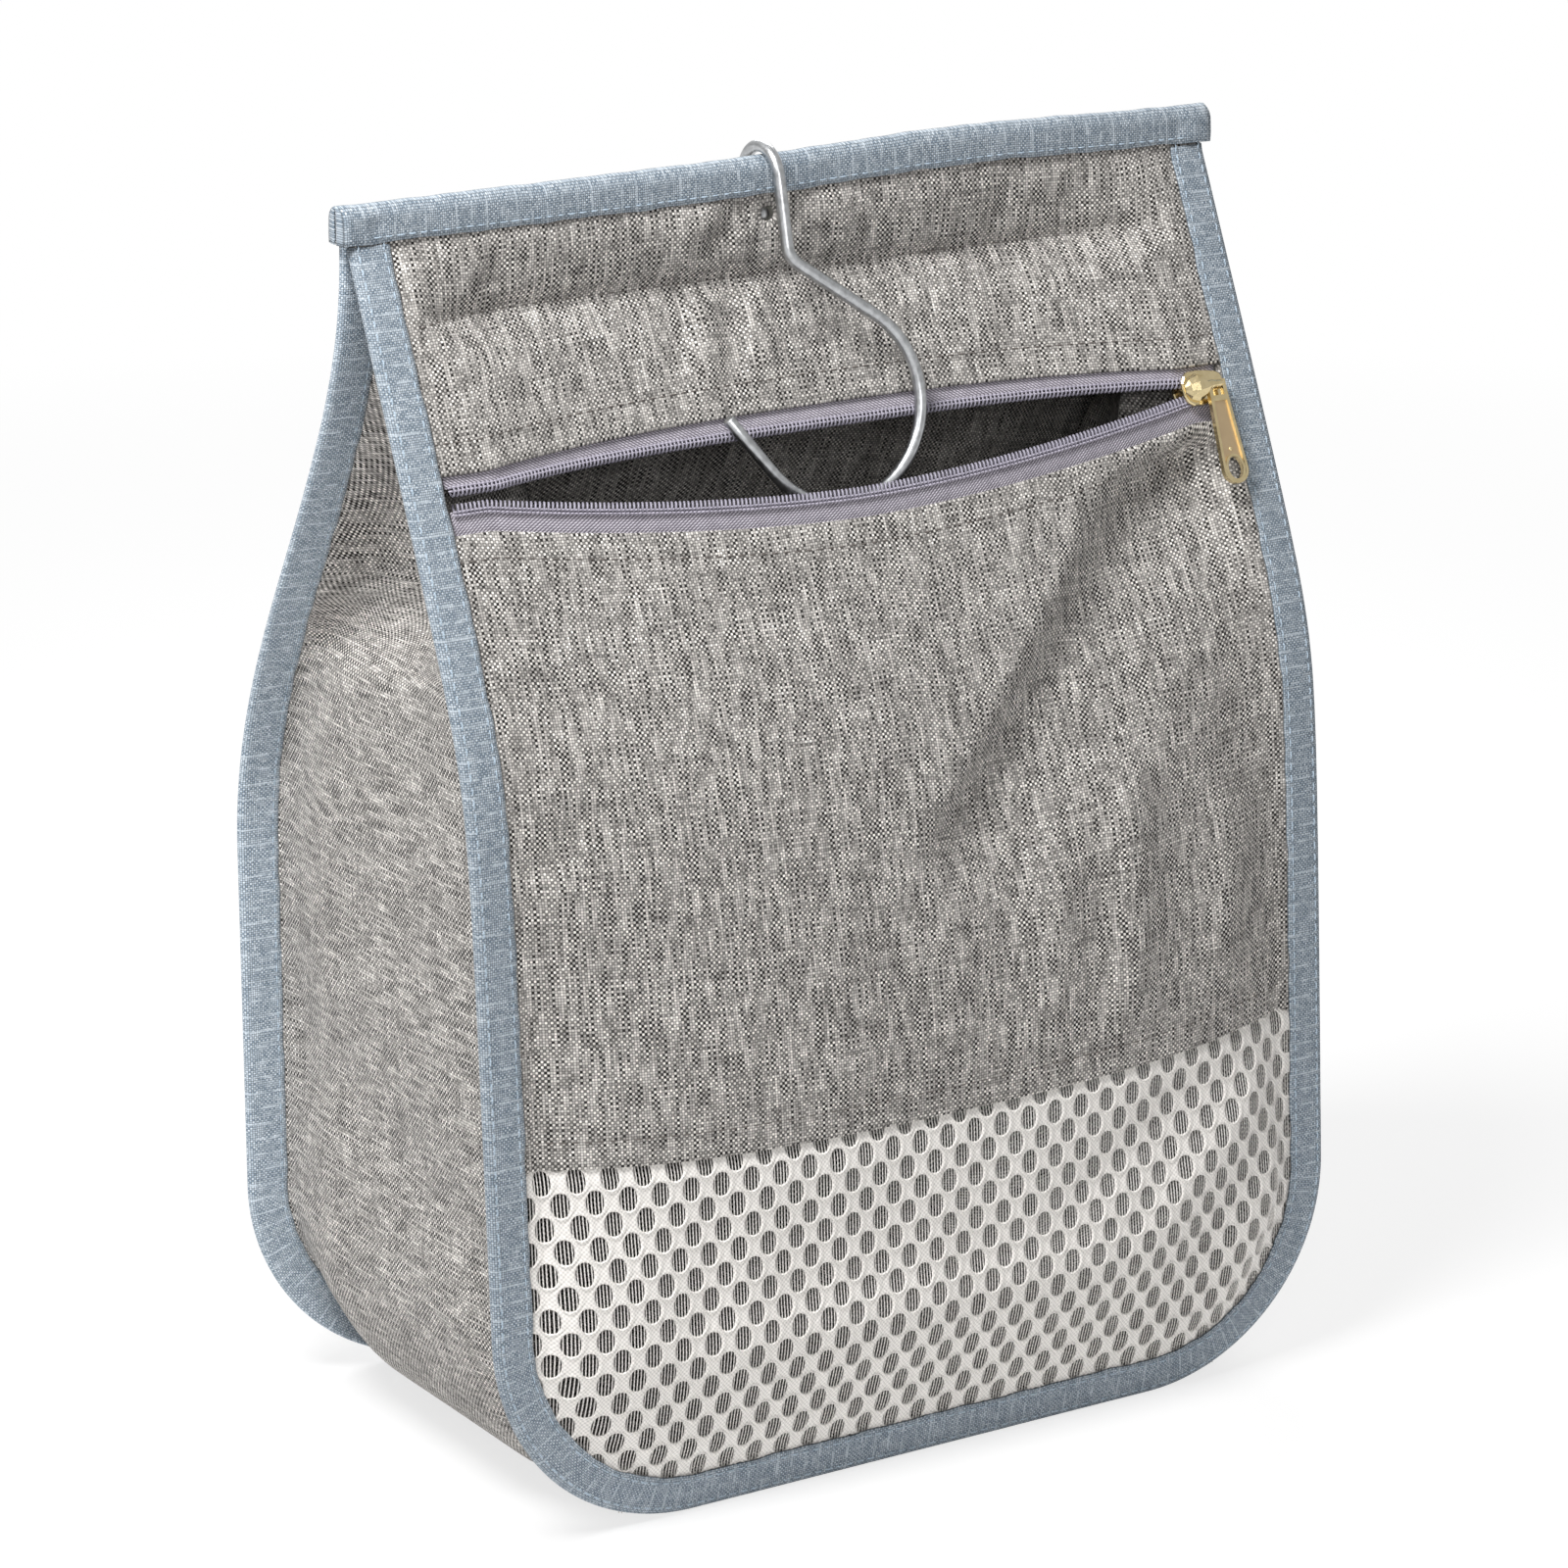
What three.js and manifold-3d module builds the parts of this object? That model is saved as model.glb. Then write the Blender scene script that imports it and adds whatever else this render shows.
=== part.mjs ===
// Peg bag: sewn canvas with bound seams, a zipped mouth, a net window and a folding wire hook.
// Millimetres, +Z up, front towards -Y, standing on its base at Z = 0.
import * as THREE from 'three';
import { mergeVertices } from 'three/addons/utils/BufferGeometryUtils.js';
import ManifoldModule from 'manifold-3d';

// The bag's outline
const bagWidth = 239;
const bagHeight = 310;
const cornerRadius = 53;

// Cloth and tape
const clothThickness = 0.6;
const tapeThickness = 0.6;
const bindWidth = 10;
const topBindHeight = 9;
const layerGap = 0.3;

// Side view: how the front and back seams leave the top edge and reach the base
const frontSlope = 0.46;
const frontBaseDepth = 64;
const frontBaseLean = 0.05;
const frontShoulderRound = 8.3;
const backDepth = 62;
const backRun = 160;

// Stiffener in the pocket under the top binding
const lathLength = 204;
const lathHeight = 20;
const lathThickness = 3.5;
const stitchDrop = 28;
const stitchPinch = 1.6;
const stitchSpread = 3;

// Zip: its line below the top edge, the cloth edges beside it and how far the open lips part
const zipDrop = 65;
const yokeEdgeRise = 5.6;
const panelEdgeFall = 7.4;
const upperLipRise = 1;
const lowerLipSag = 9;
const lowerLipBulge = 1.2;
const tapeTuck = 4;
const coilDiameter = 2.3;
const coilParting = 2.15;

// Slider and pull
const sliderLength = 12.4;
const sliderHalfHeight = 4.4;
const sliderPlate = 1.2;
const sliderRim = 0.8;
const sliderPost = 1.4;
const sliderPostLength = 3;
const sliderCorner = 1.2;
const crownHeight = 1.1;
const crownLength = 4.6;
const lugWidth = 2.5;
const lugOffset = 2.2;
const lugRadius = 1.9;
const pinDiameter = 1.4;
const pullLength = 25;
const pullTopWidth = 5.3;
const pullWidth = 6.9;
const pullThickness = 1.2;
const pullHoleWidth = 3.9;
const pullHoleHeight = 5.6;

// Net window
const netTop = 93;
const netTopSag = 3.5;
const netThickness = 0.8;
const netColumnPitch = 11.4;
const netRowStep = 7.6;
const netGapWidth = 6.4;
const netGapHeight = 8;
const netMargin = 6;

// Swell of the soft panels between their seams
const softInset = 14;
const frontSwell = 11;
const frontSwellRise = 34;
const frontSwellFadeFrom = 95;
const frontSwellFadeTo = 222;
const backSwell = 6;
const gussetSwell = 3;

// Wire hook
const wireDiameter = 3;
const wireClearance = 0.9;
const eyeDrop = 3.2;
const eyeEndAngle = -100;
const hookLean = 12.6;
const neckX = -7.5;
const neckLength = 19;
const neckBend = 6;
const crookOffset = 8.2;
const crookDrop = 54.5;
const crookRadius = 24;
const crookEndAngle = 143;
const tipLength = 18;

// Mesh steps
const columnCount = 12;
const arcSteps = 8;
const rowStep = 10.5;
const lipSteps = 30;
const wallSteps = 6;
const boreSides = 14;

// Values worked out from those sizes
const halfWidth = bagWidth / 2;
const clothHalf = clothThickness / 2;
const bindFace = clothHalf + layerGap + tapeThickness;
const flangeNear = clothHalf + layerGap;
const flangeFar = flangeNear + clothThickness;
const innerLegNear = flangeFar + layerGap;
const innerLegFar = innerLegNear + tapeThickness;
const tuckDepth = flangeNear + clothHalf;
const topHalf = Math.max(lathThickness / 2 + layerGap + clothHalf, innerLegFar + layerGap / 2);
const topBindBottom = bagHeight - topBindHeight;
const seamTop = topBindBottom - layerGap;
const stitchHeight = bagHeight - stitchDrop;
const zipHeight = bagHeight - zipDrop;
const edgeInset = tapeThickness + layerGap;
const wallOuter = bindWidth + layerGap;
const wallInner = wallOuter + clothThickness;
const zipHalf = halfWidth - wallInner - layerGap;
const sliderX = zipHalf - sliderLength / 2;
const mouthHalf = sliderX - sliderLength / 2;
const softHalf = halfWidth - softInset;

const { Manifold, Mesh: ManifoldMesh } = await ManifoldModule().then((wasm) => {
  wasm.setup();
  return wasm;
});

function smooth(value) {
  const t = THREE.MathUtils.clamp(value, 0, 1);
  return t * t * (3 - 2 * t);
}

// Seam lines in the side view

function frontSeam(z) {
  const upper = topHalf + frontSlope * (seamTop - Math.min(z, seamTop));
  const lower = frontBaseDepth - frontBaseLean * z;
  const blend = Math.hypot(upper - lower, frontShoulderRound);
  return -Math.max(topHalf, (upper + lower - blend) / 2);
}

function ramp(drop, run) {
  return 0.5 - 0.5 * Math.cos(Math.PI * THREE.MathUtils.clamp(drop / run, 0, 1));
}

function backSeam(z) {
  return topHalf + (backDepth - topHalf) * ramp(seamTop - z, backRun);
}

// The outline seen from the front, moved in by an inset

function outlineHalf(z, inset) {
  if (z >= cornerRadius) {
    return halfWidth - inset;
  }
  const radius = cornerRadius - inset;
  const rise = cornerRadius - z;
  return halfWidth - cornerRadius + Math.sqrt(Math.max(0, radius * radius - rise * rise));
}

// Soft surfaces between the seams

function middleWeight(x, reach, power) {
  return 1 - Math.pow(Math.min(1, Math.abs(x) / reach), power);
}

function stitchDip(z) {
  const t = (z - stitchHeight) / stitchSpread;
  return stitchPinch * Math.exp(-t * t);
}

function yokeSurface(x, z) {
  const below = Math.max(0, stitchHeight - z);
  const middle = -(topHalf + frontSlope * below) + stitchDip(z);
  const weight = middleWeight(x, mouthHalf, 3);
  return frontSeam(z) + (Math.max(middle, frontSeam(z)) - frontSeam(z)) * weight;
}

function frontSurface(x, z) {
  const reach = outlineHalf(Math.max(z, softInset), softInset);
  const rise = smooth((z - softInset) / frontSwellRise);
  const fade = 1 - smooth((z - frontSwellFadeFrom) / (frontSwellFadeTo - frontSwellFadeFrom));
  const swell = frontSwell * rise * fade * middleWeight(x, reach, 4);
  const lip = lowerLipBulge * smooth((z - frontSwellFadeFrom) / (zipHeight - frontSwellFadeFrom));
  return frontSeam(z) - swell - lip * middleWeight(x, mouthHalf, 3);
}

function backSurface(x, z) {
  const reach = outlineHalf(Math.max(z, softInset), softInset);
  const pocket = topHalf + (backDepth - topHalf) * ramp(stitchHeight - z, backRun) - stitchDip(z);
  const rise = smooth((z - softInset) / frontSwellRise);
  const swell = backSwell * rise * (1 - ramp(z - frontSwellFadeFrom, stitchHeight - frontSwellFadeFrom));
  const middle = Math.min(pocket, backSeam(z)) + swell;
  return backSeam(z) + (middle - backSeam(z)) * middleWeight(x, reach, 4);
}

// Solids

function solid(positions, triangles) {
  const geometry = new THREE.BufferGeometry();
  geometry.setAttribute('position', new THREE.Float32BufferAttribute(positions.flat(), 3));
  geometry.setIndex(triangles);
  return facingOut(geometry);
}

function signedVolume(geometry) {
  const p = geometry.getAttribute('position');
  const index = geometry.getIndex().array;
  const a = new THREE.Vector3();
  const b = new THREE.Vector3();
  const c = new THREE.Vector3();
  let sum = 0;
  for (let i = 0; i < index.length; i += 3) {
    a.fromBufferAttribute(p, index[i]);
    b.fromBufferAttribute(p, index[i + 1]);
    c.fromBufferAttribute(p, index[i + 2]);
    sum += a.dot(b.cross(c));
  }
  return sum / 6;
}

function facingOut(geometry) {
  if (signedVolume(geometry) < 0) {
    const index = geometry.getIndex().array;
    for (let i = 0; i < index.length; i += 3) {
      const first = index[i];
      index[i] = index[i + 1];
      index[i + 1] = first;
    }
  }
  geometry.computeVertexNormals();
  return geometry;
}

function closed(geometry) {
  geometry.deleteAttribute('normal');
  geometry.deleteAttribute('uv');
  return facingOut(mergeVertices(geometry, 1e-4));
}

// A cloth sheet: a grid of points on its middle surface, thick along Y
function sheet(columns, rows, point, thickness) {
  const positions = [];
  const stride = columns + 1;
  const layer = stride * (rows + 1);
  for (const side of [-0.5, 0.5]) {
    for (let j = 0; j <= rows; j += 1) {
      for (let i = 0; i <= columns; i += 1) {
        const [x, y, z] = point(i, j);
        positions.push([x, y + side * thickness, z]);
      }
    }
  }
  const triangles = [];
  const quad = (a, b, c, d) => triangles.push(a, b, c, a, c, d);
  const at = (i, j, back) => back * layer + j * stride + i;
  for (let j = 0; j < rows; j += 1) {
    for (let i = 0; i < columns; i += 1) {
      quad(at(i, j, 0), at(i + 1, j, 0), at(i + 1, j + 1, 0), at(i, j + 1, 0));
      quad(at(i, j, 1), at(i, j + 1, 1), at(i + 1, j + 1, 1), at(i + 1, j, 1));
    }
  }
  for (let i = 0; i < columns; i += 1) {
    quad(at(i, 0, 0), at(i, 0, 1), at(i + 1, 0, 1), at(i + 1, 0, 0));
    quad(at(i, rows, 0), at(i + 1, rows, 0), at(i + 1, rows, 1), at(i, rows, 1));
  }
  for (let j = 0; j < rows; j += 1) {
    quad(at(0, j, 0), at(0, j + 1, 0), at(0, j + 1, 1), at(0, j, 1));
    quad(at(columns, j, 0), at(columns, j, 1), at(columns, j + 1, 1), at(columns, j + 1, 0));
  }
  return solid(positions, triangles);
}

// A solid that joins equal closed loops, with both ends capped
function loft(loops, capOutline) {
  const size = loops[0].length;
  const positions = loops.flat();
  const triangles = [];
  for (let k = 0; k + 1 < loops.length; k += 1) {
    for (let i = 0; i < size; i += 1) {
      const next = (i + 1) % size;
      const a = k * size + i;
      const b = k * size + next;
      triangles.push(a, b, b + size, a, b + size, a + size);
    }
  }
  const last = (loops.length - 1) * size;
  const turned = THREE.ShapeUtils.isClockWise(capOutline);
  for (const face of THREE.ShapeUtils.triangulateShape(capOutline, [])) {
    const [a, b, c] = turned ? face.reverse() : face;
    triangles.push(a, c, b);
    triangles.push(last + a, last + b, last + c);
  }
  return solid(positions, triangles);
}

function toManifold(geometry) {
  const p = geometry.getAttribute('position').array;
  const index = geometry.getIndex().array;
  const mesh = new ManifoldMesh({
    numProp: 3,
    vertProperties: new Float32Array(p),
    triVerts: new Uint32Array(index),
  });
  return new Manifold(mesh);
}

function fromManifold(body) {
  const mesh = body.getMesh();
  const geometry = new THREE.BufferGeometry();
  geometry.setAttribute('position', new THREE.BufferAttribute(new Float32Array(mesh.vertProperties), 3));
  geometry.setIndex(new THREE.BufferAttribute(new Uint32Array(mesh.triVerts), 1));
  return closed(geometry);
}

function join(...geometries) {
  const bodies = geometries.map(toManifold);
  return fromManifold(bodies.reduce((sum, body) => sum.add(body)));
}

function cut(geometry, ...tools) {
  const bodies = tools.map(toManifold);
  return fromManifold(bodies.reduce((rest, body) => rest.subtract(body), toManifold(geometry)));
}

function box(x0, x1, y0, y1, z0, z1) {
  const geometry = new THREE.BoxGeometry(x1 - x0, y1 - y0, z1 - z0);
  geometry.translate((x0 + x1) / 2, (y0 + y1) / 2, (z0 + z1) / 2);
  return closed(geometry);
}

function rodAlongX(radius, x0, x1, y, z) {
  const geometry = new THREE.CylinderGeometry(radius, radius, x1 - x0, boreSides);
  geometry.rotateZ(Math.PI / 2);
  geometry.translate((x0 + x1) / 2, y, z);
  return closed(geometry);
}

function rodAlongY(radius, x, y0, y1, z) {
  const geometry = new THREE.CylinderGeometry(radius, radius, y1 - y0, boreSides);
  geometry.translate(x, (y0 + y1) / 2, z);
  return closed(geometry);
}

// A plate drawn as a shape in X and Z, from y0 to y1
function plate(shape, y0, y1, curveSegments) {
  const geometry = new THREE.ExtrudeGeometry(shape, {
    depth: y1 - y0,
    bevelEnabled: false,
    curveSegments,
  });
  geometry.rotateX(Math.PI / 2);
  geometry.translate(0, y1, 0);
  return closed(geometry);
}

// Heights shared by every piece along the straight sides of the seams
function sideRows() {
  const curveFrom = Math.max(cornerRadius, seamTop - backRun - rowStep);
  const lower = Math.max(1, Math.round((curveFrom - cornerRadius) / (3 * rowStep)));
  const upper = Math.ceil((seamTop - curveFrom) / rowStep);
  const rows = [];
  for (let i = 0; i < lower; i += 1) {
    rows.push(cornerRadius + ((curveFrom - cornerRadius) * i) / lower);
  }
  for (let i = 0; i <= upper; i += 1) {
    rows.push(curveFrom + ((seamTop - curveFrom) * i) / upper);
  }
  return rows;
}

// Stations round the outline, from the top of the left side to the top of the right side
function seamStations() {
  const rows = sideRows();
  const left = rows.slice(1).reverse().map((z) => ({ x: -halfWidth, z, inX: 1, inZ: 0 }));
  for (let i = 0; i <= arcSteps; i += 1) {
    const a = ((Math.PI / 2) * i) / arcSteps;
    left.push({
      x: -halfWidth + cornerRadius * (1 - Math.cos(a)),
      z: cornerRadius * (1 - Math.sin(a)),
      inX: Math.cos(a),
      inZ: Math.sin(a),
    });
  }
  const right = left.map((s) => ({ ...s, x: -s.x, inX: -s.inX })).reverse();
  return [...left, ...right];
}

function inward(station, inset) {
  return { x: station.x + station.inX * inset, z: station.z + station.inZ * inset };
}

function seamPoint(station, inset, seam, offset) {
  const { x, z } = inward(station, inset);
  const side = seam === frontSeam ? 1 : -1;
  return [x, seam(z) + side * offset, z];
}

// Folded tape round a seam: two legs and the fold between them
const bindOutline = [
  [bindWidth, -bindFace],
  [tapeThickness, -bindFace],
  [0, -bindFace + tapeThickness],
  [0, innerLegFar - tapeThickness],
  [tapeThickness, innerLegFar],
  [bindWidth, innerLegFar],
  [bindWidth, innerLegNear],
  [tapeThickness, innerLegNear],
  [tapeThickness, -bindFace + tapeThickness],
  [bindWidth, -bindFace + tapeThickness],
];

function seamBinding(seam) {
  const loops = seamStations().map((station) => (
    bindOutline.map(([inset, offset]) => seamPoint(station, inset, seam, offset))
  ));
  return loft(loops, bindOutline.map(([inset, offset]) => new THREE.Vector2(inset, offset)));
}

function topBinding() {
  const outer = topHalf + bindFace;
  const inner = outer - tapeThickness;
  const foldZ = bagHeight - outer;
  const outline = [];
  const arc = (radius, from, to) => {
    for (let i = 0; i <= 2 * arcSteps; i += 1) {
      const a = from + ((to - from) * i) / (2 * arcSteps);
      outline.push(new THREE.Vector2(radius * Math.cos(a), foldZ + radius * Math.sin(a)));
    }
  };
  outline.push(new THREE.Vector2(outer, topBindBottom));
  arc(outer, 0, Math.PI);
  outline.push(new THREE.Vector2(-outer, topBindBottom));
  outline.push(new THREE.Vector2(-inner, topBindBottom));
  arc(inner, Math.PI, 0);
  outline.push(new THREE.Vector2(inner, topBindBottom));
  const loops = [-halfWidth, halfWidth].map((x) => outline.map((p) => [x, p.x, p.y]));
  return loft(loops, outline);
}

// Highest edge of a layer whose outer face lies at a distance from the middle of the top binding
function underTopFold(face) {
  const outer = topHalf + bindFace;
  const inner = outer - tapeThickness;
  return bagHeight - outer + Math.sqrt(Math.max(0, inner * inner - face * face)) - layerGap;
}

// Side strip with its two seam flanges turned out into the bindings
function gusset() {
  const fullDepth = frontBaseDepth + backDepth;
  const legClear = innerLegFar + layerGap;
  const roomBetween = (z) => backSeam(z) - frontSeam(z) - 2 * legClear;
  const stations = seamStations().filter((station) => roomBetween(station.z) > layerGap);
  const loops = stations.map((station) => {
    const wall = inward(station, wallOuter);
    const front = frontSeam(wall.z) + legClear;
    const back = backSeam(wall.z) - legClear;
    const depth = Math.max(0, back - front) / fullDepth;
    const swell = gussetSwell * depth * depth * (1 - station.inZ) + wallOuter * station.inZ ** 2;
    const wallPoint = (inset, q) => {
      const bow = smooth(4 * Math.min(q, 1 - q)) * swell;
      const at = inward(station, inset - bow);
      return [at.x, front + (back - front) * q, at.z];
    };
    const steps = [...Array(wallSteps + 1).keys()].map((i) => i / wallSteps);
    return [
      seamPoint(station, edgeInset, frontSeam, flangeNear),
      seamPoint(station, wallInner, frontSeam, flangeNear),
      ...steps.map((q) => wallPoint(wallInner, q)),
      seamPoint(station, wallInner, backSeam, flangeNear),
      seamPoint(station, edgeInset, backSeam, flangeNear),
      seamPoint(station, edgeInset, backSeam, flangeFar),
      seamPoint(station, wallOuter, backSeam, flangeFar),
      ...steps.reverse().map((q) => wallPoint(wallOuter, q)),
      seamPoint(station, wallOuter, frontSeam, flangeFar),
      seamPoint(station, edgeInset, frontSeam, flangeFar),
    ];
  });
  const first = loops[0].map(([x, y]) => new THREE.Vector2(x, y));
  return loft(loops, first);
}

// Column i of a panel row: the seam strip at each side, then even steps across the soft middle
function columnX(i, edge, reach) {
  if (i === 0) {
    return -edge;
  }
  if (i === columnCount) {
    return edge;
  }
  return reach * (-1 + (2 * (i - 1)) / (columnCount - 2));
}

function hookHole() {
  return rodAlongY(wireDiameter / 2 + wireClearance, neckX, -bagHeight, bagHeight, eyeBottom());
}

function backPanel() {
  const heights = [...cornerHeights(), ...sideRows().slice(1)];
  for (const step of [-2, -1, 0, 1, 2]) {
    heights.push(stitchHeight + step * stitchSpread);
  }
  heights.push(underTopFold(topHalf + clothHalf));
  heights.sort((a, b) => a - b);
  const point = (i, j) => {
    const z = heights[j];
    const reach = outlineHalf(Math.max(z, softInset), softInset);
    const x = columnX(i, outlineHalf(z, edgeInset), reach);
    return [x, backSurface(x, z), z];
  };
  return cut(sheet(columnCount, heights.length - 1, point, clothThickness), hookHole());
}

function yokeEdge() {
  return zipHeight + yokeEdgeRise;
}

function frontYoke() {
  const heights = sideRows().filter((z) => z > yokeEdge() + layerGap);
  heights.push(yokeEdge());
  for (const step of [-2, -1, 0, 1, 2]) {
    heights.push(stitchHeight + step * stitchSpread);
  }
  heights.push(underTopFold(topHalf + clothHalf));
  heights.sort((a, b) => a - b);
  const point = (i, j) => {
    const z = heights[j];
    const x = columnX(i, halfWidth - edgeInset, mouthHalf);
    return [x, yokeSurface(x, z), z];
  };
  return cut(sheet(columnCount, heights.length - 1, point, clothThickness), hookHole());
}

function lowerLip(x) {
  return lowerLipSag * middleWeight(x, mouthHalf, 3);
}

function panelEdge(x) {
  return zipHeight - panelEdgeFall - lowerLip(x);
}

function netEdge(x) {
  return netTop - netTopSag * middleWeight(x, softHalf, 2);
}

function frontPanel() {
  const rows = Math.ceil((zipHeight - netTop) / rowStep);
  const point = (i, j) => {
    const x = columnX(i, halfWidth - edgeInset, softHalf);
    const z = THREE.MathUtils.lerp(netEdge(x), panelEdge(x), j / rows);
    return [x, frontSurface(x, z), z];
  };
  return sheet(columnCount, rows, point, clothThickness);
}

// Net: a sheet that goes round both lower corners, with six-sided gaps in staggered rows
function meshWindow() {
  const low = cornerHeights();
  const upperRows = Math.ceil((netTop - cornerRadius) / netRowStep / 2);
  const point = (i, j) => {
    const corner = low[Math.min(j, low.length - 1)];
    const reach = outlineHalf(Math.max(corner, softInset), softInset);
    const x = columnX(i, outlineHalf(corner, edgeInset), reach);
    const t = Math.max(0, j - low.length + 1) / upperRows;
    const z = THREE.MathUtils.lerp(corner, netEdge(x) - layerGap, t);
    return [x, frontSurface(x, z), z];
  };
  const net = sheet(columnCount, low.length - 1 + upperRows, point, netThickness);
  return cut(net, ...netGaps());
}

// Heights of the panel edge's steps round the lower corners, and where the soft middle begins
function cornerHeights() {
  const radius = cornerRadius - edgeInset;
  const heights = [softInset, cornerRadius];
  for (let i = 0; i < arcSteps; i += 1) {
    heights.push(cornerRadius - radius * Math.cos(((Math.PI / 2) * i) / arcSteps));
  }
  return heights.sort((a, b) => a - b);
}

function netGaps() {
  const gaps = [];
  const lowest = softInset + netGapHeight / 2;
  const rows = Math.floor((netTop - netTopSag - netMargin - netGapHeight / 2 - lowest) / netRowStep);
  for (let row = 0; row <= rows; row += 1) {
    const z = lowest + row * netRowStep;
    const reach = outlineHalf(z - netGapHeight / 2, softInset) - netGapWidth / 2;
    const shift = row % 2 ? 0.5 : 0;
    const count = Math.floor(reach / netColumnPitch - shift);
    for (let i = -count - 2 * shift; i <= count; i += 1) {
      gaps.push(netGap((i + shift) * netColumnPitch, z));
    }
  }
  return gaps;
}

function netGap(x, z) {
  const gap = new THREE.CylinderGeometry(1, 1, 2 * bagHeight, 6);
  gap.scale(netGapWidth / 2 / Math.cos(Math.PI / 6), 1, netGapHeight / 2);
  gap.translate(x, 0, z);
  return closed(gap);
}

// The zip's lips: heights of the coils' middle lines
function upperCoil(x) {
  return zipHeight + coilParting * Math.cos(zipTilt()) + upperLipRise * middleWeight(x, mouthHalf, 3);
}

function lowerCoil(x) {
  return zipHeight - coilParting * Math.cos(zipTilt()) - lowerLip(x);
}

function zipTilt() {
  const step = 1;
  return Math.atan((frontSeam(zipHeight + step) - frontSeam(zipHeight - step)) / (2 * step));
}

function lipX(i) {
  return zipHalf * (-1 + (2 * i) / lipSteps);
}

function zipTape(surface, coil, fabricEdge, up) {
  const coilSide = (coilDiameter / 2 + layerGap) * up;
  const point = (i, j) => {
    const x = lipX(i);
    const from = coil(x) + coilSide;
    const to = fabricEdge(x) + tapeTuck * up;
    const z = THREE.MathUtils.lerp(from, to, j / 2);
    return [x, surface(x, z) + tuckDepth, z];
  };
  return sheet(lipSteps, 2, point, tapeThickness);
}

function zipCoil(surface, coil) {
  const sides = 6;
  const outline = [];
  for (let k = 0; k < sides; k += 1) {
    const a = (2 * Math.PI * k) / sides;
    outline.push(new THREE.Vector2(Math.cos(a), Math.sin(a)).multiplyScalar(coilDiameter / 2));
  }
  const loops = [];
  for (let i = 0; i <= lipSteps; i += 1) {
    const x = lipX(i);
    const z = coil(x);
    const y = surface(x, z) + tuckDepth;
    loops.push(outline.map((p) => [x, y + p.x, z + p.y]));
  }
  return loft(loops, outline);
}

// Slider, drawn with X along the zip, Z across it and -Y outwards
const channel = coilDiameter + 2 * layerGap;
const plateFace = -(channel / 2 + sliderPlate);
const pinY = plateFace - lugRadius;

function sliderPlateShape() {
  const l = sliderLength / 2;
  const h = sliderHalfHeight;
  const shape = new THREE.Shape();
  shape.moveTo(-l + sliderCorner, -h);
  shape.lineTo(l - sliderCorner, -h);
  shape.lineTo(l, -h + sliderCorner);
  shape.lineTo(l, h - sliderCorner);
  shape.lineTo(l - sliderCorner, h);
  shape.lineTo(-l + sliderCorner, h);
  shape.lineTo(-l, h - sliderCorner);
  shape.lineTo(-l, -h + sliderCorner);
  shape.closePath();
  return shape;
}

function zipSlider() {
  const l = sliderLength / 2;
  const tapeSlot = tapeThickness / 2 + layerGap;
  const postX = -l + sliderCorner;
  const overlap = 0.2;
  const front = plate(sliderPlateShape(), plateFace, -channel / 2, 1);
  const back = plate(sliderPlateShape(), channel / 2, channel / 2 + sliderPlate, 1);
  const pieces = [front, back];
  pieces.push(box(
    postX, postX + sliderPostLength,
    -channel / 2 - overlap, channel / 2 + overlap,
    -sliderPost / 2, sliderPost / 2,
  ));
  for (const sign of [-1, 1]) {
    const z0 = sign * sliderHalfHeight;
    const z1 = sign * (sliderHalfHeight - sliderRim);
    for (const face of [-1, 1]) {
      const y0 = face * tapeSlot;
      const y1 = face * (channel / 2 + overlap);
      pieces.push(box(
        -l + sliderCorner, l - sliderCorner,
        Math.min(y0, y1), Math.max(y0, y1),
        Math.min(z0, z1), Math.max(z0, z1),
      ));
    }
  }
  const lugX = [lugOffset - lugWidth / 2, lugOffset + lugWidth / 2];
  pieces.push(rodAlongX(lugRadius, lugX[0], lugX[1], pinY, 0));
  pieces.push(box(lugX[0], lugX[1], pinY, plateFace + overlap, -lugRadius, lugRadius));
  pieces.push(crown(overlap));
  const bore = rodAlongX(pinDiameter / 2 + layerGap, lugX[0] - 1, lugX[1] + 1, pinY, 0);
  return cut(join(...pieces), bore);
}

// Raised facet of the slider, beside the lug
function crown(overlap) {
  const radius = crownLength / Math.SQRT2;
  const height = crownHeight + overlap;
  const geometry = new THREE.CylinderGeometry(radius * 0.7, radius, height, 4, 1, false, Math.PI / 4);
  geometry.rotateX(Math.PI / 2);
  const armClear = pullTopWidth / 2 + layerGap;
  const x = lugOffset - armClear - crownLength / 2;
  geometry.translate(x, plateFace + overlap - height / 2, 0);
  return closed(geometry);
}

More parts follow.
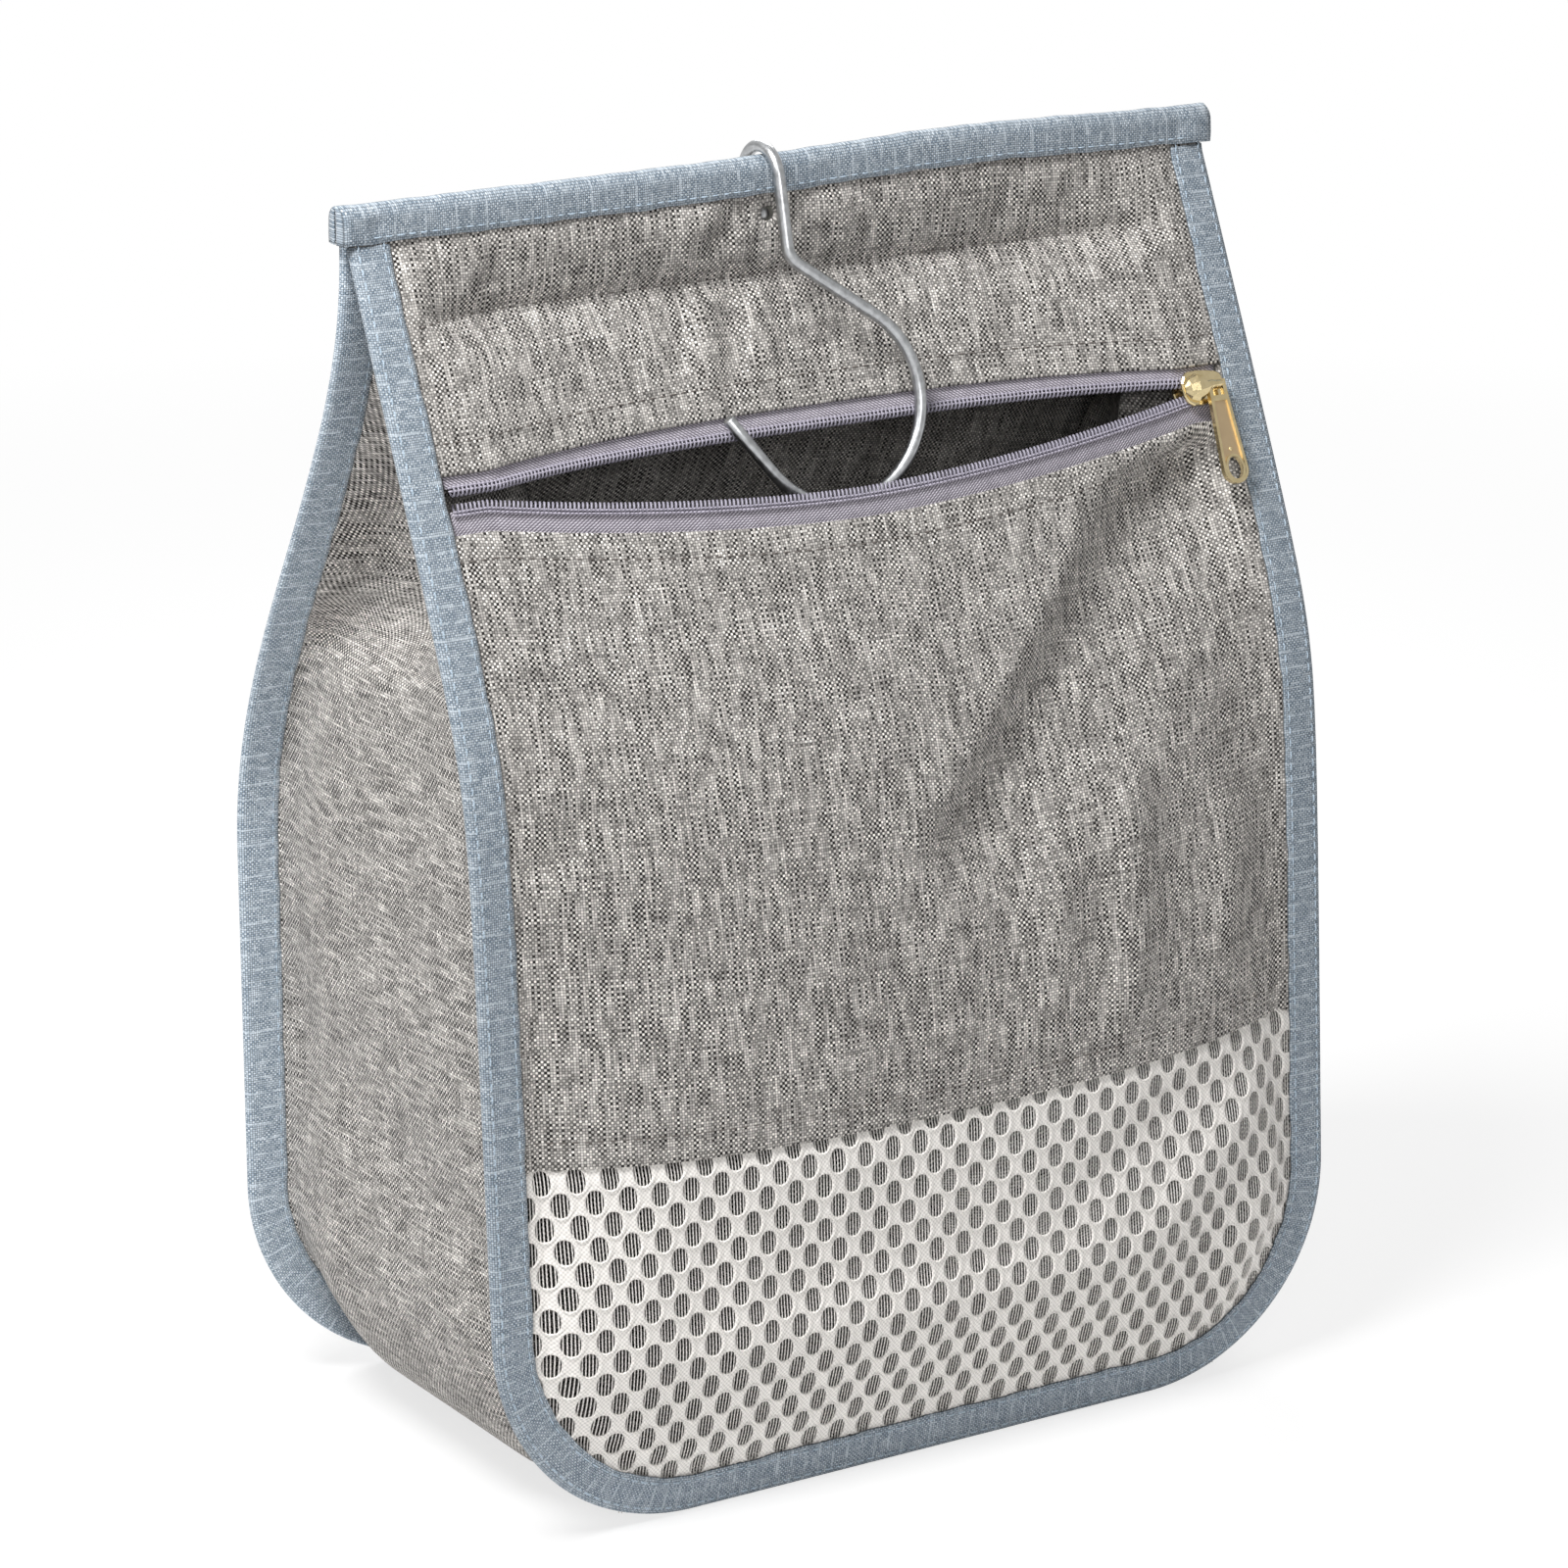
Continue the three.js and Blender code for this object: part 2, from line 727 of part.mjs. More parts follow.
// Pull, drawn round its pin
function zipPull() {
  const slotHalf = lugWidth / 2 + layerGap;
  const slotDepth = lugRadius + 2 * layerGap;
  const topHalfWidth = pullTopWidth / 2;
  const endHalf = pullWidth / 2;
  const armTop = pinDiameter / 2 + layerGap;
  const endZ = -pullLength + endHalf;
  const shape = new THREE.Shape();
  shape.moveTo(-topHalfWidth, armTop);
  shape.lineTo(-topHalfWidth, -slotDepth);
  shape.lineTo(-endHalf, endZ);
  shape.absarc(0, endZ, endHalf, Math.PI, 2 * Math.PI, false);
  shape.lineTo(topHalfWidth, -slotDepth);
  shape.lineTo(topHalfWidth, armTop);
  shape.lineTo(slotHalf, armTop);
  shape.lineTo(slotHalf, -slotDepth);
  shape.lineTo(-slotHalf, -slotDepth);
  shape.lineTo(-slotHalf, armTop);
  shape.closePath();
  const hole = new THREE.Path();
  hole.absellipse(0, endZ, pullHoleWidth / 2, pullHoleHeight / 2, 0, 2 * Math.PI, true);
  shape.holes.push(hole);
  const tab = plate(shape, -pullThickness / 2, pullThickness / 2, 10);
  const pin = rodAlongX(pinDiameter / 2, -topHalfWidth, topHalfWidth, 0, 0);
  return join(tab, pin);
}

// Hook: an open eye round the top edge, a neck, and a crook that lies in one leaning plane
function eyeTop() {
  return bagHeight + wireClearance + wireDiameter / 2;
}

function eyeBottom() {
  return topBindBottom - eyeDrop - wireDiameter / 2;
}

function hookRoute() {
  const radius = (eyeTop() - eyeBottom()) / 2;
  const centreZ = (eyeTop() + eyeBottom()) / 2;
  const lean = THREE.MathUtils.degToRad(hookLean);
  const points = [];
  const arc = (from, to, step, place) => {
    const steps = Math.max(2, Math.round(Math.abs(to - from) / step));
    for (let i = 0; i <= steps; i += 1) {
      points.push(place(from + ((to - from) * i) / steps));
    }
  };
  arc(THREE.MathUtils.degToRad(eyeEndAngle), Math.PI - lean, Math.PI / 9, (a) => (
    new THREE.Vector3(neckX, radius * Math.cos(a), centreZ + radius * Math.sin(a))
  ));
  const start = points[points.length - 1];
  const inPlane = (x, drop) => new THREE.Vector3(
    x,
    start.y - drop * Math.sin(lean),
    start.z - drop * Math.cos(lean),
  );
  const centreX = neckX + crookOffset;
  const reach = Math.hypot(crookOffset, crookDrop - neckLength);
  const legAngle = Math.atan2(crookDrop - neckLength, crookOffset) - Math.asin(crookRadius / reach);
  const turn = Math.PI / 2 - legAngle;
  const bendX = neckX + neckBend;
  const bendDrop = neckLength - neckBend * Math.tan(turn / 2);
  arc(Math.PI, Math.PI - turn, Math.PI / 12, (a) => (
    inPlane(bendX + neckBend * Math.cos(a), bendDrop + neckBend * Math.sin(a))
  ));
  arc(legAngle - Math.PI / 2, THREE.MathUtils.degToRad(crookEndAngle), Math.PI / 12, (a) => (
    inPlane(centreX + crookRadius * Math.cos(a), crookDrop + crookRadius * Math.sin(a))
  ));
  const end = THREE.MathUtils.degToRad(crookEndAngle);
  const endX = centreX + crookRadius * Math.cos(end) - tipLength * Math.sin(end);
  points.push(inPlane(endX, crookDrop + crookRadius * Math.sin(end) + tipLength * Math.cos(end)));
  return points;
}

function wireHook() {
  return tube(hookRoute(), wireDiameter / 2, 8);
}

// A round tube through points, turned as little as possible from one point to the next
function tube(route, radius, sides) {
  const outline = [];
  for (let k = 0; k < sides; k += 1) {
    const a = (2 * Math.PI * k) / sides;
    outline.push(new THREE.Vector2(Math.cos(a), Math.sin(a)).multiplyScalar(radius));
  }
  const direction = (i) => new THREE.Vector3().subVectors(
    route[Math.min(i + 1, route.length - 1)],
    route[Math.max(i - 1, 0)],
  ).normalize();
  const along = direction(0);
  let side = new THREE.Vector3(1, 0, 0);
  const loops = route.map((point, i) => {
    const turn = new THREE.Quaternion().setFromUnitVectors(along, direction(i));
    along.copy(direction(i));
    side = side.clone().applyQuaternion(turn);
    const other = new THREE.Vector3().crossVectors(along, side);
    return outline.map((p) => point.clone().addScaledVector(side, p.x).addScaledVector(other, p.y).toArray());
  });
  return loft(loops, outline);
}

// Assembly

const materials = {
  canvas: new THREE.MeshStandardMaterial({ color: 0x96918a, roughness: 0.95 }),
  binding: new THREE.MeshStandardMaterial({ color: 0x8ca0b2, roughness: 0.9 }),
  net: new THREE.MeshStandardMaterial({ color: 0xe1dcd7, roughness: 0.85 }),
  zipTape: new THREE.MeshStandardMaterial({ color: 0x8c8796, roughness: 0.9 }),
  zipCoil: new THREE.MeshStandardMaterial({ color: 0x9a96a4, roughness: 0.5 }),
  brass: new THREE.MeshStandardMaterial({ color: 0xb08d4c, roughness: 0.3, metalness: 1 }),
  steel: new THREE.MeshStandardMaterial({ color: 0x8d8f92, roughness: 0.35, metalness: 1 }),
  lath: new THREE.MeshStandardMaterial({ color: 0xd8d6d0, roughness: 0.6 }),
};

const bag = new THREE.Group();

function add(name, geometry, material, parent = bag) {
  const mesh = new THREE.Mesh(geometry, material);
  mesh.name = name;
  parent.add(mesh);
  return mesh;
}

function hangerLath() {
  const top = underTopFold(lathThickness / 2);
  const half = lathThickness / 2;
  const strip = box(-lathLength / 2, lathLength / 2, -half, half, top - lathHeight, top);
  return cut(strip, hookHole());
}

add('back_panel', backPanel(), materials.canvas);
add('front_yoke', frontYoke(), materials.canvas);
add('front_panel', frontPanel(), materials.canvas);
add('mesh_window', meshWindow(), materials.net);
add('gusset', gusset(), materials.canvas);
add('front_binding', seamBinding(frontSeam), materials.binding);
add('back_binding', seamBinding(backSeam), materials.binding);
add('top_binding', topBinding(), materials.binding);
add('hanger_lath', hangerLath(), materials.lath);
add('zip_tape_upper', zipTape(yokeSurface, upperCoil, yokeEdge, 1), materials.zipTape);
add('zip_tape_lower', zipTape(frontSurface, lowerCoil, panelEdge, -1), materials.zipTape);
add('zip_coil_upper', zipCoil(yokeSurface, upperCoil), materials.zipCoil);
add('zip_coil_lower', zipCoil(frontSurface, lowerCoil), materials.zipCoil);
add('wire_hook', wireHook(), materials.steel);

const slide = new THREE.Group();
slide.position.set(sliderX, frontSeam(zipHeight) + tuckDepth, zipHeight);
slide.rotation.x = -zipTilt();
bag.add(slide);
add('zip_slider', zipSlider(), materials.brass, slide);
const pull = add('zip_pull', zipPull(), materials.brass, slide);
pull.position.set(lugOffset, pinY, 0);

// The bag's box is centred on the origin, seen from above
bag.updateMatrixWorld(true);
const bounds = new THREE.Box3().setFromObject(bag, true);
bag.position.y = -(bounds.min.y + bounds.max.y) / 2;
bag.updateMatrixWorld(true);

export default bag;
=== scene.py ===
"""Peg bag: sewn cloth, net, zip and wire hook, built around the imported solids.

The shapes repeat the solids' own surfaces in millimetres and are placed in the row frame in metres.
"""

import math

import bmesh
import bpy
import numpy as np
from bpy.props import FloatProperty, FloatVectorProperty, PointerProperty
from bpy.types import Operator, Panel, PropertyGroup
from mathutils import Matrix, Vector


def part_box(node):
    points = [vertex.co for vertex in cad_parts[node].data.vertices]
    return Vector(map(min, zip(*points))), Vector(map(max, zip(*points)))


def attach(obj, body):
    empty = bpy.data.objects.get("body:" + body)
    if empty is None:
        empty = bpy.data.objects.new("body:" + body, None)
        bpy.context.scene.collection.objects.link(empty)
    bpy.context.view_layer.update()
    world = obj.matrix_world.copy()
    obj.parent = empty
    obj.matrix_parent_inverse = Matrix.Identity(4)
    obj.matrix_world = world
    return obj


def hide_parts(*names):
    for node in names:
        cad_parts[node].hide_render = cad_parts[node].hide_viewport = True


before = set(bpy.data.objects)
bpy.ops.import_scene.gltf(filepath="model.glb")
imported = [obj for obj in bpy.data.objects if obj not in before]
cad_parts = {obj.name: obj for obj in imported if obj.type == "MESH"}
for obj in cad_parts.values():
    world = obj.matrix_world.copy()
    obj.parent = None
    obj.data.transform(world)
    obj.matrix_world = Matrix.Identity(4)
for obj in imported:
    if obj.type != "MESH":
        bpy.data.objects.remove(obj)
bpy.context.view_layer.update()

bl_info = {
    "name": "Peg bag looks",
    "version": (1, 0, 0),
    "blender": (4, 5, 0),
    "location": "3D View > Sidebar > Peg Bag",
    "description": "Builds the cloth, net, zip and hook of a peg bag around its solids",
    "category": "Add Mesh",
}

MM = 0.001

# The bag's outline and seams, as the solids have them, in millimetres
HALF_WIDTH = 119.5
BAG_HEIGHT = 310.0
CORNER_RADIUS = 53.0
TOP_HALF = 2.35
LATH_CLEAR = 2.1
LATH_BOTTOM = 288.5
LATH_REACH = 105.0
SEAM_TOP = 300.7
TOP_BIND_BOTTOM = 301.0
TOP_ARCH = 1.7
FRONT_SLOPE = 0.46
FRONT_BASE_DEPTH = 64.0
FRONT_BASE_LEAN = 0.05
FRONT_SHOULDER = 8.3
BACK_DEPTH = 62.0
BACK_RUN = 160.0
FULL_DEPTH = FRONT_BASE_DEPTH + BACK_DEPTH
STITCH_HEIGHT = 282.0
STITCH_PINCH = 1.6
STITCH_SPREAD = 3.0
SOFT_INSET = 14.0
FRONT_SWELL = 11.0
SWELL_RISE = 34.0
SWELL_FADE_FROM = 95.0
SWELL_FADE_TO = 222.0
BACK_SWELL = 6.0
GUSSET_SWELL = 3.0
CORNER_BULGE = 2.0
BIND_WIDTH = 10.0
EDGE_INSET = 0.9
WALL_INSET = 10.6
LEG_CLEAR = 2.4
BASE_LEAN = 2.6
BACK_LEAN = 0.8
LEAN_TOP = 285.0
LEAN_RUN = 45.0

# The zip
ZIP_HEIGHT = 245.0
ZIP_HALF = 108.3
MOUTH_HALF = 95.9
YOKE_EDGE = 250.6
PANEL_EDGE = 237.6
LOWER_SAG = 9.0
LIP_REACH = 99.0
YOKE_ARCH = 2.0
UPPER_RISE = 1.0
LIP_BULGE = 1.2
COIL_PARTING = 1.96
ZIP_TILT = math.radians(24.158)
COIL_DEPTH = 0.9
COIL_WIDTH = 2.3
COIL_HEIGHT = 1.3
COIL_STITCH = 0.85
COIL_THREAD = 0.5
ZIP_TUCK = 6.5
SLIDER_X = 102.1
SLIDER_CHANNEL = 2.9
PLATE_THICKNESS = 1.2
PLATE_FACE = -(SLIDER_CHANNEL / 2 + PLATE_THICKNESS)
LUG_X = 2.2
LUG_RADIUS = 1.9
PIN_Y = PLATE_FACE - LUG_RADIUS

# The net's top edge
NET_TOP = 93.0
NET_SAG = 3.5
SOFT_HALF = 105.5

# The hook
WIRE_RADIUS = 1.5
EYE_RADIUS = 8.05
EYE_HEIGHT = 304.35
EYE_END = -100.0
HOOK_LEAN = math.radians(12.6)
NECK_X = -7.5
NECK_LENGTH = 19.0
NECK_BEND = 6.0
CROOK_OFFSET = 8.2
CROOK_DROP = 54.5
CROOK_RADIUS = 24.0
CROOK_END = 143.0
TIP_LENGTH = 18.0
HOLE_HEIGHT = EYE_HEIGHT - math.sqrt(EYE_RADIUS**2 - TOP_HALF**2)
HOLE_RADIUS = 1.85
HOLE_FLAT = 8.0
HOLE_REACH = 4.0
HOLE_STEP = 0.8
FINE_FROM = 291.0

# Layers of cloth, and those of the solids that they fit
CLOTH = 0.5
TAPE = 0.5
ZIP_TAPE = 0.4
NET_YARN = 0.45
HEM_RADIUS = 0.35
HEM_DEPTH = 7.0
HEM_STEPS = 4
SOLID_CLOTH = 0.6
LAYER_GAP = 0.3
TOP_BIND_PROUD = 1.2
FLANGE_OFFSET = 0.9
FLANGE_MIDDLE = 5.0
FLANGE_TURN = 0.8
GUSSET_TOP = 291.0
FLOOR_CLEAR = 0.3

# Folds: where they end, lie flat or reach furthest
FOLD_EDGE = 8.0
RIDGE_FADE = 0.3
POCKET_FOLD_TOP = 304.0
PUFF = 1.3
PUFF_TOP = 306.0
STITCH_FLAT = 2.0
PILLOW = 3.2
VALLEY_START = 0.1
VALLEY_FALL = 0.32
VALLEY_CLIMB = 0.58
VALLEY_LEFT = 34.0
VALLEY_RIGHT = 18.0

# The pull's tab, from the pin down
PULL_TOP_HALF = 2.65
PULL_SHOULDER = -2.6
PULL_END_RADIUS = 3.6
PULL_END = -21.55
PULL_FRONT = -0.75
PULL_BACK = 0.6
PULL_RIM = 0.75
FIELD_TOP = -4.3
FIELD_FACE = -0.25
PULL_HOLE = -21.2
STUD_PLACE = -16.4
STUD_RADIUS = 0.55

# The hook's wire: its sides, and its cut ends' eased length and share of the radius
WIRE_SIDES = 20
WIRE_EASE = 0.25
WIRE_END = 0.8

# The camera and the lights, in degrees and metres, with the camera's shift in pixels.
# Each light has a name, azimuth, elevation, size and power.
CAMERA_TURNS = (-32.287, 16.733, -0.095)
CAMERA_DISTANCE = 1.438257
CAMERA_TARGET = 0.155
CAMERA_SHIFT = (-5.321, -5.165)
PICTURE_SIZE = 1600
LENS = 135.0
SENSOR = 36.0
LIGHT_TARGET = 0.15
LIGHTS = (
    ("key", -70.0, 58.0, 0.4, 12.2),
    ("fill", -24.0, 24.0, 0.4, 2.0),
    ("back", 148.0, 40.0, 0.6, 6.5),
)
FLOOR_HALF = 6.0
STUDIO_GLOW = 0.12
WHITE = (1.0, 1.0, 1.0)

# Directions
FRONT = (0, -1, 0)
BACK = (0, 1, 0)
UP = (0, 0, 1)
DOWN = (0, 0, -1)


def frame_shift():
    """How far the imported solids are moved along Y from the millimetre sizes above."""
    low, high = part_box("top_binding")
    return (low.y + high.y) / 2 / MM


SHIFT_Y = frame_shift()


def srgb(red, green, blue):
    """A display colour of 0 to 255 as linear light."""
    out = []
    for value in (red, green, blue):
        share = value / 255
        low = share / 12.92
        high = ((share + 0.055) / 1.055) ** 2.4
        out.append(low if share <= 0.04045 else high)
    return tuple(out)


# Sizes and colours that a user would change


def length(name, description, millimetres):
    return FloatProperty(
        name=name,
        description=description,
        default=millimetres * MM,
        min=0.0,
        unit="LENGTH",
        precision=5,
    )


def colour(name, description, value):
    return FloatVectorProperty(
        name=name, description=description, default=value, size=3, min=0.0, max=1.0, subtype="COLOR"
    )


class PegBagSizes(PropertyGroup):
    """Sizes of the cloth, thread, net and zip."""

    weave: length("Weave", "Width of one yarn of the canvas", 0.66)
    tape_weave: length("Tape weave", "Width of one yarn of the binding tape", 0.55)
    tape_row: length("Tape row", "Distance between the light cross rows of the binding", 4.0)
    twill: length("Twill", "Distance between the diagonal ribs of the zip tape", 1.05)
    stitch_pitch: length("Stitch pitch", "Distance from one stitch to the next", 3.0)
    stitch_length: length("Stitch length", "Length of thread that shows in one stitch", 2.3)
    thread: length("Thread", "Diameter of the sewing thread", 0.36)
    net_pitch: length("Net pitch", "Distance between holes in one row of the net", 7.8)
    net_row: length("Net row", "Distance between two rows of the net", 5.5)
    net_hole_width: length("Hole width", "Width of one hole of the net", 4.3)
    net_hole_height: length("Hole height", "Height of one hole of the net", 6.2)
    net_thread: length("Net thread", "Width of the threads that cross a hole", 0.36)
    coil_pitch: length("Coil pitch", "Distance between two turns of the zip's coil", 1.1)
    coil_wire: length("Coil wire", "Diameter of the coil's nylon wire", 0.6)
    fold_depth: FloatProperty(
        name="Fold depth",
        description="Depth of the cloth's folds, as a share of those photographed",
        default=1.0,
        min=0.0,
        max=2.0,
        subtype="FACTOR",
    )


class PegBagColours(PropertyGroup):
    """Colours of the bag's materials."""

    canvas_light: colour("Canvas light", "Light yarn of the canvas", srgb(252, 247, 241))
    canvas_dark: colour("Canvas dark", "Dark yarn of the canvas", srgb(34, 31, 29))
    binding_light: colour("Binding light", "Light yarn of the binding", srgb(196, 205, 213))
    binding_dark: colour("Binding dark", "Dark yarn of the binding", srgb(112, 127, 141))
    net_yarn: colour("Net yarn", "Yarn of the net", srgb(246, 242, 237))
    # The zip tape's two colours are painted light on its ribs and painted shade in its grooves.
    zip_rib_painted_light: colour("Zip tape light", "Ribs of the zip tape", srgb(232, 227, 236))
    zip_groove_painted_shade: colour("Zip tape dark", "Grooves of the zip tape", srgb(98, 92, 104))
    coil: colour("Coil", "Nylon wire of the zip", srgb(158, 154, 168))
    coil_thread: colour("Coil thread", "Thread that holds the coil", srgb(172, 167, 180))
    canvas_thread: colour("Canvas thread", "Thread on the canvas", srgb(108, 102, 98))
    binding_thread: colour("Binding thread", "Thread on the binding", srgb(176, 192, 206))
    brass: colour("Brass", "Slider and pull", srgb(230, 212, 168))
    brass_field: colour("Brass field", "Sunk face of the pull", srgb(206, 181, 146))
    wire: colour("Wire", "Steel wire of the hook", srgb(204, 206, 208))
    lath: colour("Lath", "Plastic of the lath", srgb(216, 214, 206))
    floor: colour("Floor", "Floor under the bag", srgb(248, 248, 248))


def bag_sizes():
    return bpy.context.scene.peg_bag_sizes


def bag_colours():
    return bpy.context.scene.peg_bag_colours


# Seams and surfaces, with numpy arrays of millimetres


def smooth(value):
    t = np.clip(value, 0.0, 1.0)
    return t * t * (3 - 2 * t)


def ramp(drop, run):
    return 0.5 - 0.5 * np.cos(math.pi * np.clip(drop / run, 0.0, 1.0))


def front_seam(z):
    upper = TOP_HALF + FRONT_SLOPE * (SEAM_TOP - np.minimum(z, SEAM_TOP))
    lower = FRONT_BASE_DEPTH - FRONT_BASE_LEAN * z
    return -np.maximum(TOP_HALF, (upper + lower - np.hypot(upper - lower, FRONT_SHOULDER)) / 2)


def back_seam(z):
    return TOP_HALF + (BACK_DEPTH - TOP_HALF) * ramp(SEAM_TOP - z, BACK_RUN)


def outline_half(z, inset):
    radius = CORNER_RADIUS - inset
    rise = CORNER_RADIUS - z
    corner = HALF_WIDTH - CORNER_RADIUS + np.sqrt(np.maximum(0.0, radius**2 - rise**2))
    return np.where(z >= CORNER_RADIUS, HALF_WIDTH - inset, corner)


def middle_weight(x, reach, power):
    return 1 - np.minimum(1.0, np.abs(x) / reach) ** power


def stitch_dip(z):
    return STITCH_PINCH * np.exp(-(((z - STITCH_HEIGHT) / STITCH_SPREAD) ** 2))


def yoke_surface(x, z):
    below = np.maximum(0.0, STITCH_HEIGHT - z)
    middle = -(TOP_HALF + FRONT_SLOPE * below) + stitch_dip(z)
    seam = front_seam(z)
    along_lath = smooth((z - STITCH_HEIGHT + 10) / 12)
    reach = MOUTH_HALF + (LATH_REACH - MOUTH_HALF) * along_lath
    return seam + (np.maximum(middle, seam) - seam) * middle_weight(x, reach, 3 + 5 * along_lath)


def front_surface(x, z):
    reach = outline_half(np.maximum(z, SOFT_INSET), SOFT_INSET)
    rise = smooth((z - SOFT_INSET) / SWELL_RISE)
    fade = 1 - smooth((z - SWELL_FADE_FROM) / (SWELL_FADE_TO - SWELL_FADE_FROM))
    swell = FRONT_SWELL * rise * fade * middle_weight(x, reach, 4)
    lip = LIP_BULGE * smooth((z - SWELL_FADE_FROM) / (ZIP_HEIGHT - SWELL_FADE_FROM))
    return front_seam(z) - swell - lip * middle_weight(x, MOUTH_HALF, 3)


def back_surface(x, z):
    reach = outline_half(np.maximum(z, SOFT_INSET), SOFT_INSET)
    pocket = TOP_HALF + (BACK_DEPTH - TOP_HALF) * ramp(STITCH_HEIGHT - z, BACK_RUN) - stitch_dip(z)
    rise = smooth((z - SOFT_INSET) / SWELL_RISE)
    swell = BACK_SWELL * rise * (1 - ramp(z - SWELL_FADE_FROM, STITCH_HEIGHT - SWELL_FADE_FROM))
    seam = back_seam(z)
    middle = np.minimum(pocket, seam) + swell
    return seam + (middle - seam) * middle_weight(x, reach, 4)


def lower_lip(x):
    return LOWER_SAG * middle_weight(x, LIP_REACH, 1.7)


def yoke_edge(x):
    return YOKE_EDGE + YOKE_ARCH * middle_weight(x, LIP_REACH, 2)


def panel_edge(x):
    return PANEL_EDGE - lower_lip(x)


def net_edge(x):
    return NET_TOP - NET_SAG * middle_weight(x, SOFT_HALF, 2)


def upper_coil(x):
    return ZIP_HEIGHT + COIL_PARTING + UPPER_RISE * middle_weight(x, MOUTH_HALF, 3)


def lower_coil(x):
    return ZIP_HEIGHT - COIL_PARTING - lower_lip(x)


# Folds: soft ridges along lines on a surface, positive outwards


def along_line(x, z, start, end):
    """The share of the way from start to end, and the distance from that line."""
    along = np.array([end[0] - start[0], end[1] - start[1]], float)
    size = np.hypot(*along)
    along /= size
    share = ((x - start[0]) * along[0] + (z - start[1]) * along[1]) / size
    across = (z - start[1]) * along[0] - (x - start[0]) * along[1]
    return share, across


def ridges(total, x, z, folds):
    """Adds folds of (start, end, width, height) to a total."""
    for start, end, width, height in folds:
        share, across = along_line(x, z, start, end)
        ends = smooth(share / RIDGE_FADE) * smooth((1 - share) / RIDGE_FADE)
        total = total + height * ends * np.exp(-((across / width) ** 2))
    return total


def ripple(x, z, seed, scale):
    """Slow unevenness of hanging cloth, from -1 to 1."""
    random = np.random.default_rng(seed)
    total = 0.0
    for _ in range(5):
        angle, phase = random.uniform(0, math.tau, 2)
        wave = scale * random.uniform(0.7, 1.6)
        total = total + np.sin((x * math.cos(angle) + z * math.sin(angle)) * math.tau / wave + phase)
    return total / 5


def crease(x, z, start, end, near, far, drop, climb, run):
    """A fold that falls over a band, near to far wide, and climbs again over a run to the lower right."""
    share, across = along_line(x, z, start, end)
    gone = np.clip(share, 0.0, 1.0)
    half = (near + (far - near) * gone) / 2
    fall = drop * (1 - 0.4 * gone) * smooth((across + half) / (2 * half))
    rise = climb * smooth((across - half) / run)
    ends = smooth((share + 0.1) / 0.14) * smooth((1.04 - share) / 0.16)
    return ends * (rise - fall)


YOKE_FOLDS = [
    ((-9.0, 304.0), (-27.0, 288.0), 3.4, -1.6),
    ((-4.0, 303.0), (-19.0, 286.0), 3.0, 1.4),
    ((-18.0, 303.0), (-36.0, 288.0), 4.0, 1.0),
    ((2.0, 302.0), (-1.0, 286.0), 3.0, -1.1),
    ((8.0, 302.0), (18.0, 286.0), 4.5, 0.9),
    ((-23.7, 287.0), (-31.5, 256.0), 4.0, 1.3),
    ((-11.0, 287.0), (-15.0, 256.0), 4.6, 1.2),
    ((-31.0, 287.0), (-41.0, 256.0), 5.0, -1.3),
    ((-17.6, 287.0), (-23.5, 256.0), 3.6, -1.3),
    ((45.0, 284.0), (46.0, 256.0), 6.0, 0.8),
    ((65.5, 284.0), (67.0, 256.0), 6.0, 0.9),
    ((86.0, 284.0), (87.0, 256.0), 6.0, 0.8),
    ((84.0, 299.0), (76.0, 285.0), 4.0, -1.0),
    ((62.0, 300.0), (58.0, 286.0), 4.0, -0.8),
    ((-86.0, 298.0), (-93.0, 284.0), 3.5, 0.9),
    ((-80.0, 298.0), (-84.0, 285.0), 3.0, -0.8),
]
PANEL_FOLDS = [
    ((60.0, 172.0), (54.0, 92.0), 7.0, 2.8),
    ((95.0, 160.0), (81.0, 96.0), 7.5, 2.6),
    ((38.0, 160.0), (29.0, 94.0), 8.0, 1.6),
    ((-82.0, 178.0), (-112.0, 156.0), 4.5, -1.5),
    ((-92.0, 170.0), (-109.0, 146.0), 5.0, 1.0),
    ((-30.0, 140.0), (-26.0, 92.0), 8.0, 0.8),
    ((6.0, 146.0), (4.0, 92.0), 8.0, 0.8),
    ((-62.0, 135.0), (-58.0, 92.0), 8.0, 0.6),
]


PANEL_CREASE = {
    "start": (90.0, 241.0),
    "end": (-1.0, 152.0),
    "near": 20.0,
    "far": 9.0,
    "drop": 8.6,
    "climb": 5.6,
    "run": 34.0,
}
BACK_FOLDS = [
    ((-100.0, 275.0), (-30.0, 150.0), 9.0, -1.6),
    ((100.0, 275.0), (34.0, 160.0), 10.0, -1.6),
    ((-60.0, 60.0), (-95.0, 120.0), 8.0, -1.2),
    ((64.0, 58.0), (92.0, 118.0), 8.0, -1.2),
    ((-8.0, 299.0), (-24.0, 286.0), 3.0, -0.9),
    ((-6.0, 299.0), (8.0, 286.0), 3.0, -0.8),
]
NET_FOLDS = [
    ((108.0, 88.0), (50.0, 40.0), 6.0, 1.6),
    ((112.0, 72.0), (66.0, 30.0), 6.0, -1.4),
    ((84.0, 90.0), (30.0, 56.0), 7.0, -1.2),
]


def off_hole(x, z):
    """0 at the hook's hole, where the cloth lies flat, and 1 away from it."""
    return 1 - np.exp(-((x - NECK_X) ** 2 + (z - HOLE_HEIGHT) ** 2) / HOLE_FLAT**2)


def off_stitches(z):
    """0 at the pocket's line of stitching and 1 away from it."""
    return 1 - np.exp(-(((z - STITCH_HEIGHT) / STITCH_FLAT) ** 2))


